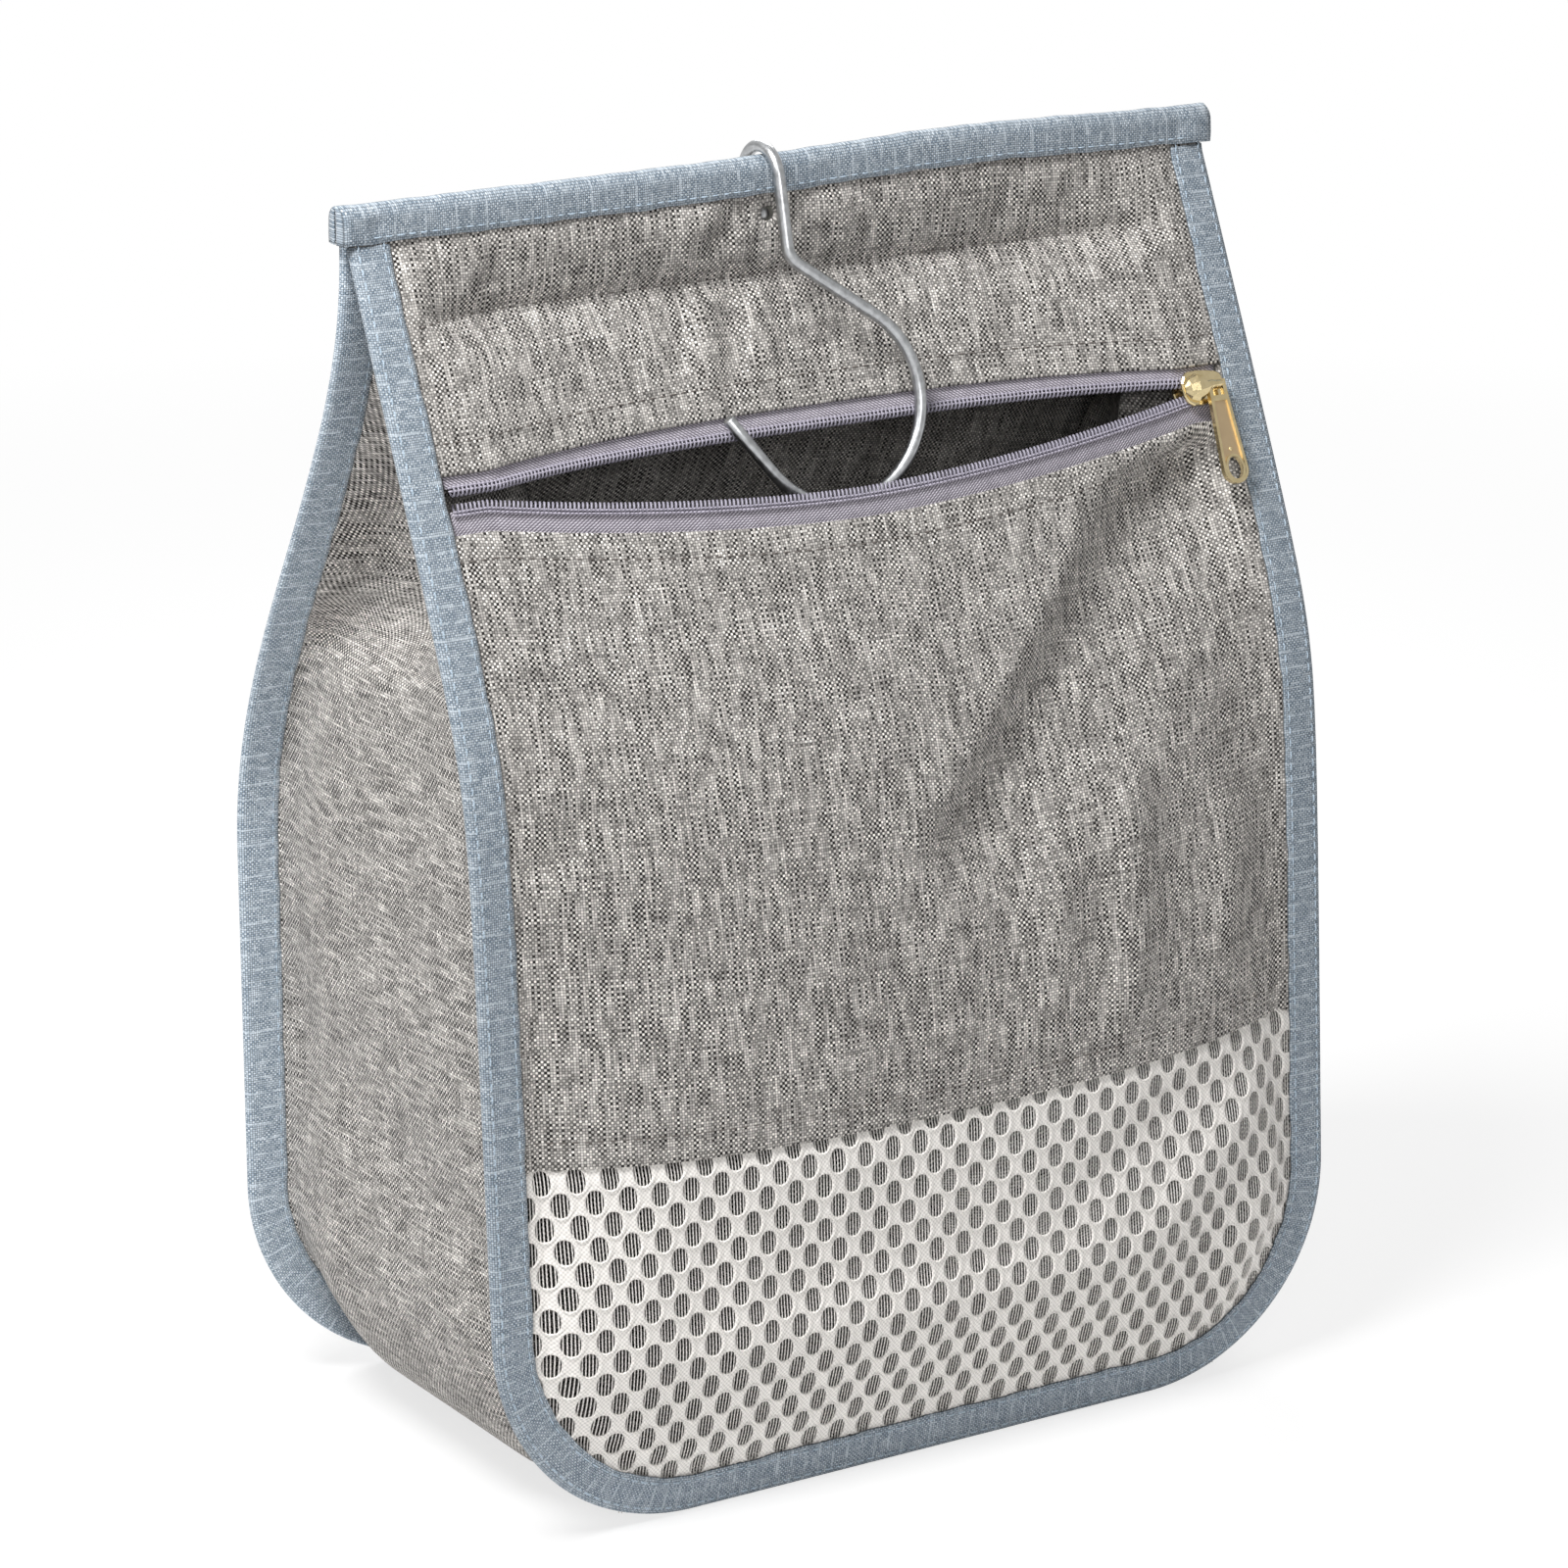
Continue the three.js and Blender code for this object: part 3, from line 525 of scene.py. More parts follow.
def yoke_folds(x, z):
    total = 0.25 * ripple(x, z, 3, 42.0)
    band = np.clip((z - STITCH_HEIGHT) / 12, 0.0, 1.0) * smooth((PUFF_TOP - z) / 11)
    total = total + (PUFF - 0.1 * smooth(x / 60) + 0.4 * ripple(x, z, 4, 30.0)) * band
    total = ridges(total, x, z, YOKE_FOLDS)
    edges = smooth((HALF_WIDTH - FOLD_EDGE - np.abs(x)) / 14) * smooth((z - YOKE_EDGE - 2) / 12)
    top = smooth((POCKET_FOLD_TOP - z) / 6)
    return total * edges * top * off_stitches(z) * off_hole(x, z)


def panel_folds(x, z):
    total = 0.45 * ripple(x, z, 11, 60.0) + 0.16 * ripple(x, z, 12, 22.0)
    total = ridges(total, x, z, PANEL_FOLDS) + crease(x, z, **PANEL_CREASE)
    edges = smooth((HALF_WIDTH - FOLD_EDGE - np.abs(x)) / 16)
    top = smooth((panel_edge(x) - 1 - z) / 7)
    low = smooth((z - net_edge(x) - 2) / 10)
    return total * edges * top * low


def back_folds(x, z):
    total = 0.7 * ripple(x, z, 21, 70.0) + 0.2 * ripple(x, z, 22, 26.0)
    total = ridges(total, x, z, BACK_FOLDS)
    reach = outline_half(np.maximum(z, SOFT_INSET), FOLD_EDGE)
    edges = smooth((reach - np.abs(x)) / 16) * smooth((z - 12) / 16) * smooth((POCKET_FOLD_TOP - z) / 6)
    return total * edges * off_stitches(z) * off_hole(x, z)


def fold_depth():
    return bag_sizes().fold_depth


def lath_room(z):
    """Least distance of the pocket's cloth from its middle: clear of the lath, and free below it."""
    return LATH_CLEAR * smooth((z - LATH_BOTTOM + 5) / 4)


def yoke_cloth(x, z):
    return np.minimum(yoke_surface(x, z) - fold_depth() * yoke_folds(x, z), -lath_room(z))


def panel_cloth(x, z):
    return front_surface(x, z) - fold_depth() * panel_folds(x, z)


def back_cloth(x, z):
    lean = side_lean(x, z) - base_lean(x, z)
    return np.maximum(back_surface(x, z) + fold_depth() * back_folds(x, z), lath_room(z)) + lean


def seam_distance(x, z):
    """How far a point of the front lies from the bag's outline."""
    wide = np.abs(x) - (HALF_WIDTH - CORNER_RADIUS)
    low = CORNER_RADIUS - z
    corner = CORNER_RADIUS - np.hypot(wide, low)
    straight = np.minimum(HALF_WIDTH - np.abs(x), z)
    return np.where((wide > 0) & (low > 0), corner, straight)


def lean_parts(x, z):
    """How much the outline faces aside and down next to a point, and how near it is, from 0 to 1."""
    wide = np.maximum(0.0, np.abs(x) - (HALF_WIDTH - CORNER_RADIUS))
    low = np.maximum(0.0, CORNER_RADIUS - z)
    size = np.maximum(np.hypot(wide, low), 1e-6)
    near = np.clip(1 - seam_distance(x, z) / BIND_WIDTH, 0.0, 1.0)
    return wide / size, low / size, near


def base_lean(x, z):
    """How far the base seam leans in under the bag at a point of the front or back."""
    _, down, near = lean_parts(x, z)
    return BASE_LEAN * down**2 * near


def side_lean(x, z):
    """How far the back's side seams lean out behind the bag at a point of the back."""
    aside, _, near = lean_parts(x, z)
    return BACK_LEAN * aside**2 * near * smooth((LEAN_TOP - z) / LEAN_RUN)


def net_cloth(x, z):
    reach = outline_half(np.maximum(z, SOFT_INSET), SOFT_INSET)
    below = net_edge(x) - z
    free = smooth((reach - np.abs(x)) / 14) * smooth((z - 10) / 12) * smooth(below / 8)
    folds = ridges(0.5 * ripple(x, z, 31, 34.0), x, z, NET_FOLDS)
    away = seam_distance(x, z)
    pillow = smooth((away - 9.5) / 10) * (1 - smooth((away - 22) / 34))
    pillow = PILLOW * pillow * smooth(below / 40)
    behind = smooth((z - net_edge(x) + 4.0) / 4.5)
    return front_surface(x, z) - pillow - fold_depth() * folds * free + behind + base_lean(x, z)


def inward_normal(surface, x, z, side):
    """Unit normals of y = surface(x, z) towards the inside: side 1 for the front, -1 for the back."""
    step = 0.2
    slope_x = (surface(x + step, z) - surface(x - step, z)) / (2 * step)
    slope_z = (surface(x, z + step) - surface(x, z - step)) / (2 * step)
    normal = np.stack([-slope_x, np.ones_like(slope_x), -slope_z], axis=-1) * side
    return normal / np.linalg.norm(normal, axis=-1, keepdims=True)


# Mesh helpers


def to_frame(points):
    """Millimetres of the sizes above to metres of the row frame."""
    moved = np.asarray(points, float).reshape(-1, 3) + np.array([0.0, SHIFT_Y, 0.0])
    return moved * MM


def link(name, mesh):
    piece = bpy.data.objects.new(name, mesh)
    bpy.context.scene.collection.objects.link(piece)
    return piece


def plain_mesh(name, points, faces, uvs=None):
    """A linked mesh object from millimetre points, with one UV pair in metres for each point."""
    mesh = bpy.data.meshes.new(name)
    mesh.from_pydata(to_frame(points).tolist(), [], [list(face) for face in faces])
    if uvs is not None:
        layer = mesh.uv_layers.new(name="cloth")
        corner = np.zeros(len(mesh.loops), np.int32)
        mesh.loops.foreach_get("vertex_index", corner)
        flat = (np.asarray(uvs, float).reshape(-1, 2) * MM)[corner]
        layer.data.foreach_set("uv", flat.astype(np.float32).ravel())
    mesh.polygons.foreach_set("use_smooth", [True] * len(mesh.polygons))
    mesh.update()
    return link(name, mesh)


def grid_faces(rows, columns):
    index = np.arange(rows * columns).reshape(rows, columns)
    corners = [index[:-1, :-1], index[:-1, 1:], index[1:, 1:], index[1:, :-1]]
    return np.stack(corners, axis=-1).reshape(-1, 4)


def face_outwards(piece, towards):
    """Turns a sheet's faces so that most look along a direction."""
    mesh = piece.data
    total = Vector((0, 0, 0))
    for polygon in mesh.polygons:
        total += polygon.normal * polygon.area
    if total.dot(Vector(towards)) < 0:
        mesh.flip_normals()
    return piece


def thicken(piece, thickness):
    solidify = piece.modifiers.new("thickness", "SOLIDIFY")
    solidify.thickness = thickness * MM
    solidify.offset = 0.0
    solidify.use_even_offset = True
    return piece


def cloth_sheet(name, points, uvs, towards, thickness, faces=None):
    """A thick sheet over a grid of points, with its faces turned along a direction."""
    if faces is None:
        faces = grid_faces(*points.shape[:2])
    piece = plain_mesh(name, points, faces, uvs)
    return thicken(face_outwards(piece, towards), thickness)


def edit_mesh(piece, change):
    """Runs a change on a piece's mesh."""
    made = bmesh.new()
    made.from_mesh(piece.data)
    change(made)
    made.to_mesh(piece.data)
    made.free()


def drop_loose(made):
    """Removes the points that no face uses."""
    bmesh.ops.delete(made, geom=[v for v in made.verts if not v.link_faces], context="VERTS")


def arc_lengths(points, axis):
    steps = np.linalg.norm(np.diff(points, axis=axis), axis=-1)
    start = np.zeros_like(np.take(steps, [0], axis=axis))
    return np.concatenate([start, np.cumsum(steps, axis=axis)], axis=axis)


def baked(piece):
    """The evaluated mesh of a piece, with its modifiers removed."""
    graph = bpy.context.evaluated_depsgraph_get()
    mesh = bpy.data.meshes.new_from_object(piece.evaluated_get(graph))
    old = piece.data
    piece.modifiers.clear()
    if piece.type == "MESH":
        piece.data = mesh
        if old.users == 0:
            bpy.data.meshes.remove(old)
        return piece
    name = piece.name
    bpy.data.objects.remove(piece)
    return link(name, mesh)


def dress(piece, material, body, slot, *nodes):
    """Gives a finished piece its material, body and the solids that it stands for; slot is not used."""
    piece.data.materials.clear()
    piece.data.materials.append(material)
    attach(piece, body)
    if nodes:
        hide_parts(*nodes)
    return piece


# Material helpers


def feed(tree, socket, value):
    if isinstance(value, bpy.types.NodeSocket):
        tree.links.new(value, socket)
    else:
        socket.default_value = value


def node(tree, kind, inputs=(), **settings):
    """A new node with its settings, and a link or a value for each of the inputs named or numbered."""
    made = tree.nodes.new(kind)
    for name, value in settings.items():
        setattr(made, name, value)
    for key, value in dict(inputs).items():
        feed(tree, made.inputs[key], value)
    return made


def calc(tree, operation, *values, clamp=False):
    return node(tree, "ShaderNodeMath", enumerate(values), operation=operation, use_clamp=clamp).outputs[0]


def blend_colour(tree, share, first, second):
    return node(tree, "ShaderNodeMix", {"Factor": share, 6: first, 7: second}, data_type="RGBA").outputs[2]


def fit_range(tree, value, low, high, out_low=0.0, out_high=1.0):
    numbers = (value, low, high, out_low, out_high)
    return node(tree, "ShaderNodeMapRange", enumerate(numbers), clamp=True).outputs[0]


def spread(tree, value, out_low=0.0, out_high=1.0):
    """Noise, which mostly lies from 0.3 to 0.7, spread over a range."""
    return fit_range(tree, value, 0.3, 0.7, out_low, out_high)


def noise(tree, vector, scale, detail=2.0, roughness=0.5):
    inputs = {"Vector": vector, "Scale": scale, "Detail": detail, "Roughness": roughness}
    return node(tree, "ShaderNodeTexNoise", inputs).outputs["Fac"]


def joined(tree, x, y, z):
    return node(tree, "ShaderNodeCombineXYZ", enumerate((x, y, z))).outputs[0]


def axes(tree, vector):
    return node(tree, "ShaderNodeSeparateXYZ", {0: vector}).outputs


def cloth_place(tree):
    """The piece's own cloth map."""
    return node(tree, "ShaderNodeUVMap", uv_map="cloth").outputs[0]


def object_place(tree):
    return node(tree, "ShaderNodeTexCoord").outputs["Object"]


def drawn_out(tree, vector, scale):
    """A place with its own scale along each axis."""
    return node(tree, "ShaderNodeMapping", {"Vector": vector, "Scale": scale}).outputs[0]


def tint(tree, value, share):
    """A colour made darker or lighter by a share that varies over the surface."""
    return node(tree, "ShaderNodeVectorMath", {0: value, "Scale": share}, operation="SCALE").outputs[0]


def rgba(value):
    return (*value, 1.0)


def toned(value, share):
    return tuple(share * part for part in value)


def new_material(name):
    material = bpy.data.materials.new(name)
    material.use_nodes = True
    tree = material.node_tree
    shader = tree.nodes["Principled BSDF"]
    return material, tree, shader


def set_surface(tree, shader, **values):
    """Links what varies over the surface, and sets plain numbers on the shader's own sockets."""
    sockets = {
        "colour": "Base Color",
        "roughness": "Roughness",
        "specular": "Specular IOR Level",
        "sheen": "Sheen Weight",
        "sheen_roughness": "Sheen Roughness",
        "metallic": "Metallic",
    }
    for name, value in values.items():
        feed(tree, shader.inputs[sockets[name]], value)


def bump(tree, shader, height, strength, distance):
    inputs = {"Strength": strength, "Distance": distance * MM, "Height": height}
    feed(tree, shader.inputs["Normal"], node(tree, "ShaderNodeBump", inputs).outputs[0])


def weave_group():
    """Plain weave: light weft over dark warp, with slubs along both yarns."""
    name = "plain weave"
    if name in bpy.data.node_groups:
        return bpy.data.node_groups[name]
    tree = bpy.data.node_groups.new(name, "ShaderNodeTree")
    face = tree.interface
    for label, kind in (
        ("Vector", "NodeSocketVector"),
        ("Yarn", "NodeSocketFloat"),
        ("Slub length", "NodeSocketFloat"),
        ("Warp share", "NodeSocketFloat"),
        ("Light", "NodeSocketColor"),
        ("Dark", "NodeSocketColor"),
    ):
        face.new_socket(label, in_out="INPUT", socket_type=kind)
    face.new_socket("Color", in_out="OUTPUT", socket_type="NodeSocketColor")
    face.new_socket("Height", in_out="OUTPUT", socket_type="NodeSocketFloat")
    source = node(tree, "NodeGroupInput")
    u, v, _ = axes(tree, source.outputs["Vector"])
    yarn = source.outputs["Yarn"]
    slub = source.outputs["Slub length"]
    across = calc(tree, "DIVIDE", u, yarn)
    along = calc(tree, "DIVIDE", v, yarn)
    warp = calc(tree, "FLOOR", across)
    weft = calc(tree, "FLOOR", along)
    warp_top = calc(tree, "PINGPONG", calc(tree, "ADD", warp, weft), 1.0)

    def dome(value, whole):
        middle = calc(tree, "SUBTRACT", calc(tree, "SUBTRACT", value, whole), 0.5)
        square = calc(tree, "MULTIPLY", middle, middle)
        return calc(tree, "MULTIPLY_ADD", square, -4.0, 1.0)

    height = calc(tree, "MULTIPLY", dome(across, warp), dome(along, weft))
    stretch_u = calc(tree, "DIVIDE", u, slub)
    stretch_v = calc(tree, "DIVIDE", v, slub)
    weft_tone = noise(tree, joined(tree, stretch_u, calc(tree, "MULTIPLY", weft, 7.31), 0.0), 1.0)
    warp_tone = noise(tree, joined(tree, calc(tree, "MULTIPLY", warp, 7.31), stretch_v, 5.0), 1.0)
    weft_light = fit_range(tree, weft_tone, 0.3, 0.62, 0.5, 1.0)
    warp_light = fit_range(tree, warp_tone, 0.4, 0.66, 0.0, 0.9)
    warp_light = calc(tree, "MULTIPLY", warp_light, source.outputs["Warp share"])
    light = node(tree, "ShaderNodeMix", {0: warp_top, 2: weft_light, 3: warp_light}, data_type="FLOAT")
    crossing = joined(tree, warp, weft, 0.0)
    cell = node(tree, "ShaderNodeTexWhiteNoise", {"Vector": crossing}, noise_dimensions="2D")
    cloudy = noise(tree, source.outputs["Vector"], 90.0, 3.0)
    pair = calc(tree, "MULTIPLY", calc(tree, "FLOOR", calc(tree, "MULTIPLY", across, 0.5)), 5.17)
    pick = calc(tree, "MULTIPLY", calc(tree, "FLOOR", calc(tree, "MULTIPLY", along, 0.5)), 5.17)
    streaks = noise(tree, joined(tree, pair, stretch_v, 9.0), 1.0)
    bars = noise(tree, joined(tree, stretch_u, pick, 3.0), 1.0)
    uneven = calc(tree, "MULTIPLY", spread(tree, streaks, 0.66, 1.16), spread(tree, bars, 0.84, 1.08))
    uneven = calc(tree, "MULTIPLY", uneven, spread(tree, cloudy, 0.96, 1.03))
    uneven = calc(tree, "MULTIPLY", uneven, fit_range(tree, cell.outputs["Value"], 0.0, 1.0, 0.65, 1.16))
    lit = calc(tree, "MULTIPLY", light.outputs[0], uneven, clamp=True)
    base = blend_colour(tree, lit, source.outputs["Dark"], source.outputs["Light"])
    shade = fit_range(tree, height, 0.0, 0.6, 0.28, 1.08)
    node(tree, "NodeGroupOutput", {"Color": tint(tree, base, shade), "Height": height})
    return tree


def woven(name, yarn, light, dark, *, slub, warp_share, roughness, sheen, relief, row=None):
    """Cloth woven from two yarns on the piece's own cloth map, with a light row across it every row."""
    material, tree, shader = new_material(name)
    place = cloth_place(tree)
    inputs = {
        "Vector": place,
        "Yarn": yarn,
        "Slub length": slub * MM,
        "Warp share": warp_share,
        "Light": rgba(light),
        "Dark": rgba(dark),
    }
    weave = node(tree, "ShaderNodeGroup", inputs, node_tree=weave_group())
    shown = weave.outputs["Color"]
    if row:
        from_row = calc(tree, "PINGPONG", axes(tree, place)[0], row / 2)
        broken = noise(tree, place, 330.0, 2.0)
        line = calc(tree, "MULTIPLY", fit_range(tree, from_row, 0.12 * MM, 0.34 * MM, 0.6, 0.0),
                    fit_range(tree, broken, 0.42, 0.56))
        shown = blend_colour(tree, line, shown, rgba(light))
    set_surface(tree, shader, colour=shown, roughness=roughness, specular=0.25)
    set_surface(tree, shader, sheen=sheen, sheen_roughness=0.5)
    bump(tree, shader, weave.outputs["Height"], 0.3, relief)
    return material


def canvas_material():
    sizes = bag_sizes()
    colours = bag_colours()
    name = "grey melange canvas"
    if name in bpy.data.materials:
        return bpy.data.materials[name]
    return woven(
        name, sizes.weave, colours.canvas_light, colours.canvas_dark,
        slub=9.0, warp_share=0.7, roughness=0.92, sheen=0.1, relief=0.2,
    )


def binding_material(name, share):
    """The blue tape, made lighter by a share. A share above 1 gives a copy with painted light, for a
    binding that lies in shade.
    """
    sizes = bag_sizes()
    colours = bag_colours()
    light = toned(colours.binding_light, share)
    dark = toned(colours.binding_dark, share)
    return woven(
        name, sizes.tape_weave, light, dark,
        slub=3.0, warp_share=0.9, roughness=0.88, sheen=0.15, relief=0.3, row=sizes.tape_row,
    )


def zip_tape_material():
    """Twill: diagonal ribs across the tape, the ribs painted lit and the grooves painted in shade, with
    uneven patches.
    """
    sizes = bag_sizes()
    colours = bag_colours()
    material, tree, shader = new_material("lilac grey zip tape")
    place = cloth_place(tree)
    u, v, _ = axes(tree, place)
    diagonal = calc(tree, "ADD", u, calc(tree, "MULTIPLY", v, 1.3))
    turn = calc(tree, "MULTIPLY", diagonal, math.tau / sizes.twill)
    wave = calc(tree, "MULTIPLY_ADD", calc(tree, "SINE", turn), 0.5, 0.5)
    cross = calc(tree, "MULTIPLY", v, math.tau / (0.55 * sizes.twill))
    beads = calc(tree, "MULTIPLY_ADD", calc(tree, "SINE", cross), 0.3, 0.7)
    height = calc(tree, "MULTIPLY", wave, beads)
    cloudy = noise(tree, place, 320.0, 3.0)
    share = calc(tree, "MULTIPLY", height, spread(tree, cloudy, 0.8, 1.15), clamp=True)
    # Painted light on the ribs and painted shade in the grooves, following the ribs' height.
    base = blend_colour(tree, share, rgba(colours.zip_groove_painted_shade), rgba(colours.zip_rib_painted_light))
    set_surface(tree, shader, colour=base, roughness=0.75, specular=0.3, sheen=0.1)
    bump(tree, shader, height, 0.6, 0.15)
    return material


def net_material():
    """Knitted yarn: fine upright wales on the white net, painted in shade where the knit dips and uneven
    with fuzz.
    """
    colours = bag_colours()
    material, tree, shader = new_material("white knitted net")
    place = object_place(tree)
    x, _, z = axes(tree, place)
    wales = calc(tree, "SINE", calc(tree, "MULTIPLY", x, math.tau / (1.0 * MM)))
    courses = calc(tree, "SINE", calc(tree, "MULTIPLY", z, math.tau / (1.1 * MM)))
    height = calc(tree, "MULTIPLY_ADD", calc(tree, "MULTIPLY", wales, courses), 0.5, 0.5)
    fuzz = noise(tree, place, 900.0, 3.0)
    # Painted shade where the knit's height is low, mixed with random fuzz.
    fuzz_and_shade = fit_range(tree, calc(tree, "MULTIPLY_ADD", fuzz, 0.5, height), 0.2, 1.1, 0.66, 1.0)
    base = tint(tree, tuple(colours.net_yarn), fuzz_and_shade)
    set_surface(tree, shader, colour=base, roughness=0.8, specular=0.3, sheen=0.15)
    bump(tree, shader, height, 0.4, 0.12)
    return material


def thread_material(name, value):
    """Twisted sewing thread, painted in shade along its twist and uneven with fuzz."""
    material, tree, shader = new_material(name)
    place = object_place(tree)
    inputs = {"Vector": place, "Scale": 700.0, "Distortion": 1.5}
    twist = node(tree, "ShaderNodeTexWave", inputs, bands_direction="DIAGONAL")
    fuzz = noise(tree, place, 700.0, 2.0)
    # Painted shade along the grooves of the twist, mixed with random fuzz.
    fuzz_and_shade = fit_range(tree, calc(tree, "ADD", fuzz, twist.outputs["Fac"]), 0.3, 1.5, 0.75, 1.08)
    base = tint(tree, tuple(value), fuzz_and_shade)
    set_surface(tree, shader, colour=base, roughness=0.7, specular=0.35)
    bump(tree, shader, twist.outputs["Fac"], 0.4, 0.06)
    return material


def nylon_material():
    colours = bag_colours()
    material, tree, shader = new_material("nylon coil")
    cloudy = noise(tree, object_place(tree), 420.0, 2.0)
    dark = toned(colours.coil, 0.72)
    base = blend_colour(tree, spread(tree, cloudy), rgba(dark), rgba(colours.coil))
    set_surface(tree, shader, colour=base, roughness=spread(tree, cloudy, 0.3, 0.45))
    return material


def brass_material():
    """Satin brass plate with fine scratches and duller patches."""
    colours = bag_colours()
    material, tree, shader = new_material("satin brass")
    place = object_place(tree)
    patches = noise(tree, place, 380.0, 4.0, 0.6)
    scratches = noise(tree, drawn_out(tree, place, (2600.0, 2600.0, 160.0)), 1.0, 3.0, 0.7)
    field = node(tree, "ShaderNodeAttribute", attribute_name="field").outputs["Fac"]
    dull = tuple(share * value for share, value in zip((0.86, 0.84, 0.78), colours.brass))
    base = blend_colour(tree, fit_range(tree, patches, 0.3, 0.6), rgba(dull), rgba(colours.brass))
    base = blend_colour(tree, calc(tree, "MULTIPLY", field, 0.85), base, rgba(colours.brass_field))
    rough = calc(tree, "MULTIPLY_ADD", patches, 0.1, spread(tree, scratches, 0.1, 0.2))
    rough = calc(tree, "MULTIPLY_ADD", field, 0.2, rough)
    set_surface(tree, shader, colour=base, roughness=rough, metallic=1.0)
    bump(tree, shader, scratches, 0.15, 0.04)
    return material


def wire_material():
    """Drawn steel wire: fine lines along its length."""
    colours = bag_colours()
    material, tree, shader = new_material("drawn steel wire")
    place = cloth_place(tree)
    lines = noise(tree, drawn_out(tree, place, (90.0, 5200.0, 1.0)), 1.0, 3.0, 0.6)
    spots = noise(tree, place, 500.0, 3.0, 0.6)
    dull = toned(colours.wire, 0.68)
    base = blend_colour(tree, fit_range(tree, spots, 0.35, 0.65), rgba(dull), rgba(colours.wire))
    rough = calc(tree, "MULTIPLY_ADD", spots, 0.16, spread(tree, lines, 0.2, 0.34))
    set_surface(tree, shader, colour=base, roughness=rough, metallic=1.0)
    bump(tree, shader, lines, 0.2, 0.03)
    return material


def lath_material():
    colours = bag_colours()
    material, tree, shader = new_material("moulded lath")
    grain = noise(tree, object_place(tree), 1500.0, 3.0)
    dark = toned(colours.lath, 0.88)
    base = blend_colour(tree, fit_range(tree, grain, 0.35, 0.65), rgba(dark), rgba(colours.lath))
    set_surface(tree, shader, colour=base, roughness=0.55)
    bump(tree, shader, grain, 0.3, 0.05)
    return material


# Cloth panels


def hem_rows(edge_sign):
    """Offsets along and behind the cloth for a folded hem: (distance back from the edge, depth)."""
    rows = []
    for k in range(1, HEM_STEPS + 1):
        turn = math.pi * k / HEM_STEPS
        rows.append((HEM_RADIUS - HEM_RADIUS * math.sin(turn), HEM_RADIUS * (1 - math.cos(turn))))
    for back in (1.2, 3.0, 5.0, HEM_DEPTH):
        rows.append((back, 2 * HEM_RADIUS))
    return [(edge_sign * back, depth) for back, depth in rows]


def cloth_panel(surface, columns, low_edge, high_edge, row_step, hems):
    """Points of a front panel between two edges, functions of x. hems are any of 'low' and 'high'."""
    x = np.asarray(columns, float)
    low, high = low_edge(x), high_edge(x)
    count = int(round(np.max(high - low) / row_step))
    share = np.linspace(0.0, 1.0, count + 1)[:, None]
    from_low = HEM_RADIUS if "low" in hems else 0.0
    from_high = HEM_RADIUS if "high" in hems else 0.0
    heights = (low + from_low) * (1 - share) + (high - from_high) * share
    depths = np.zeros_like(heights)
    if "high" in hems:
        rows = hem_rows(-1)
        heights = np.vstack([heights] + [high + back for back, _ in rows])
        depths = np.vstack([depths] + [np.full_like(x, depth) for _, depth in rows])
    if "low" in hems:
        rows = hem_rows(1)
        heights = np.vstack([low + back for back, _ in reversed(rows)] + [heights])
        depths = np.vstack([np.full_like(x, depth) for _, depth in reversed(rows)] + [depths])
    wide = np.broadcast_to(x, heights.shape)
    points = np.stack([wide, surface(wide, heights), heights], axis=-1)
    points = points + inward_normal(surface, wide, heights, 1) * depths[..., None]
    return points, np.stack([wide, arc_lengths(points, 0)], axis=-1)


def hook_hole(points, faces):
    """Leaves out the faces where the hook's eye goes through and rounds the hole's rim."""
    flat = points.reshape(-1, 3)
    reach = np.hypot(flat[:, 0] - NECK_X, flat[:, 2] - HOLE_HEIGHT)
    inside = reach < HOLE_RADIUS
    kept = faces[~inside[faces].any(axis=1)]
    gone = faces[inside[faces].any(axis=1)]
    rim = np.setdiff1d(np.unique(gone), np.flatnonzero(inside))
    rim = np.intersect1d(rim, np.unique(kept))
    away = (flat[rim][:, [0, 2]] - [NECK_X, HOLE_HEIGHT]) / reach[rim][:, None]
    placed = np.array([NECK_X, HOLE_HEIGHT]) + away * HOLE_RADIUS
    flat[rim, 0] = placed[:, 0]
    flat[rim, 2] = placed[:, 1]
    return kept


def canvas_piece(name, points, uvs, towards, holed=False):
    """A canvas piece of the bag. A holed one lets the hook's eye through."""
    faces = grid_faces(*points.shape[:2])
    if holed:
        faces = hook_hole(points, faces)
    piece = cloth_sheet(name, points, uvs, towards, CLOTH, faces)
    if holed:
        edit_mesh(piece, drop_loose)
    return dress(piece, canvas_material(), "bag", "canvas", name)


def fine_columns(edge, step):
    """Even columns from edge to edge, with finer ones round the hook's hole."""
    even = np.linspace(-edge, edge, int(round(2 * edge / step)) + 1)
    near = NECK_X + np.arange(-HOLE_REACH, HOLE_REACH + 0.01, HOLE_STEP)
    far = even[np.abs(even - NECK_X) > HOLE_REACH + HOLE_STEP]
    return np.sort(np.concatenate([far, near]))


def level(value):
    return lambda x: np.full_like(np.asarray(x, float), value)


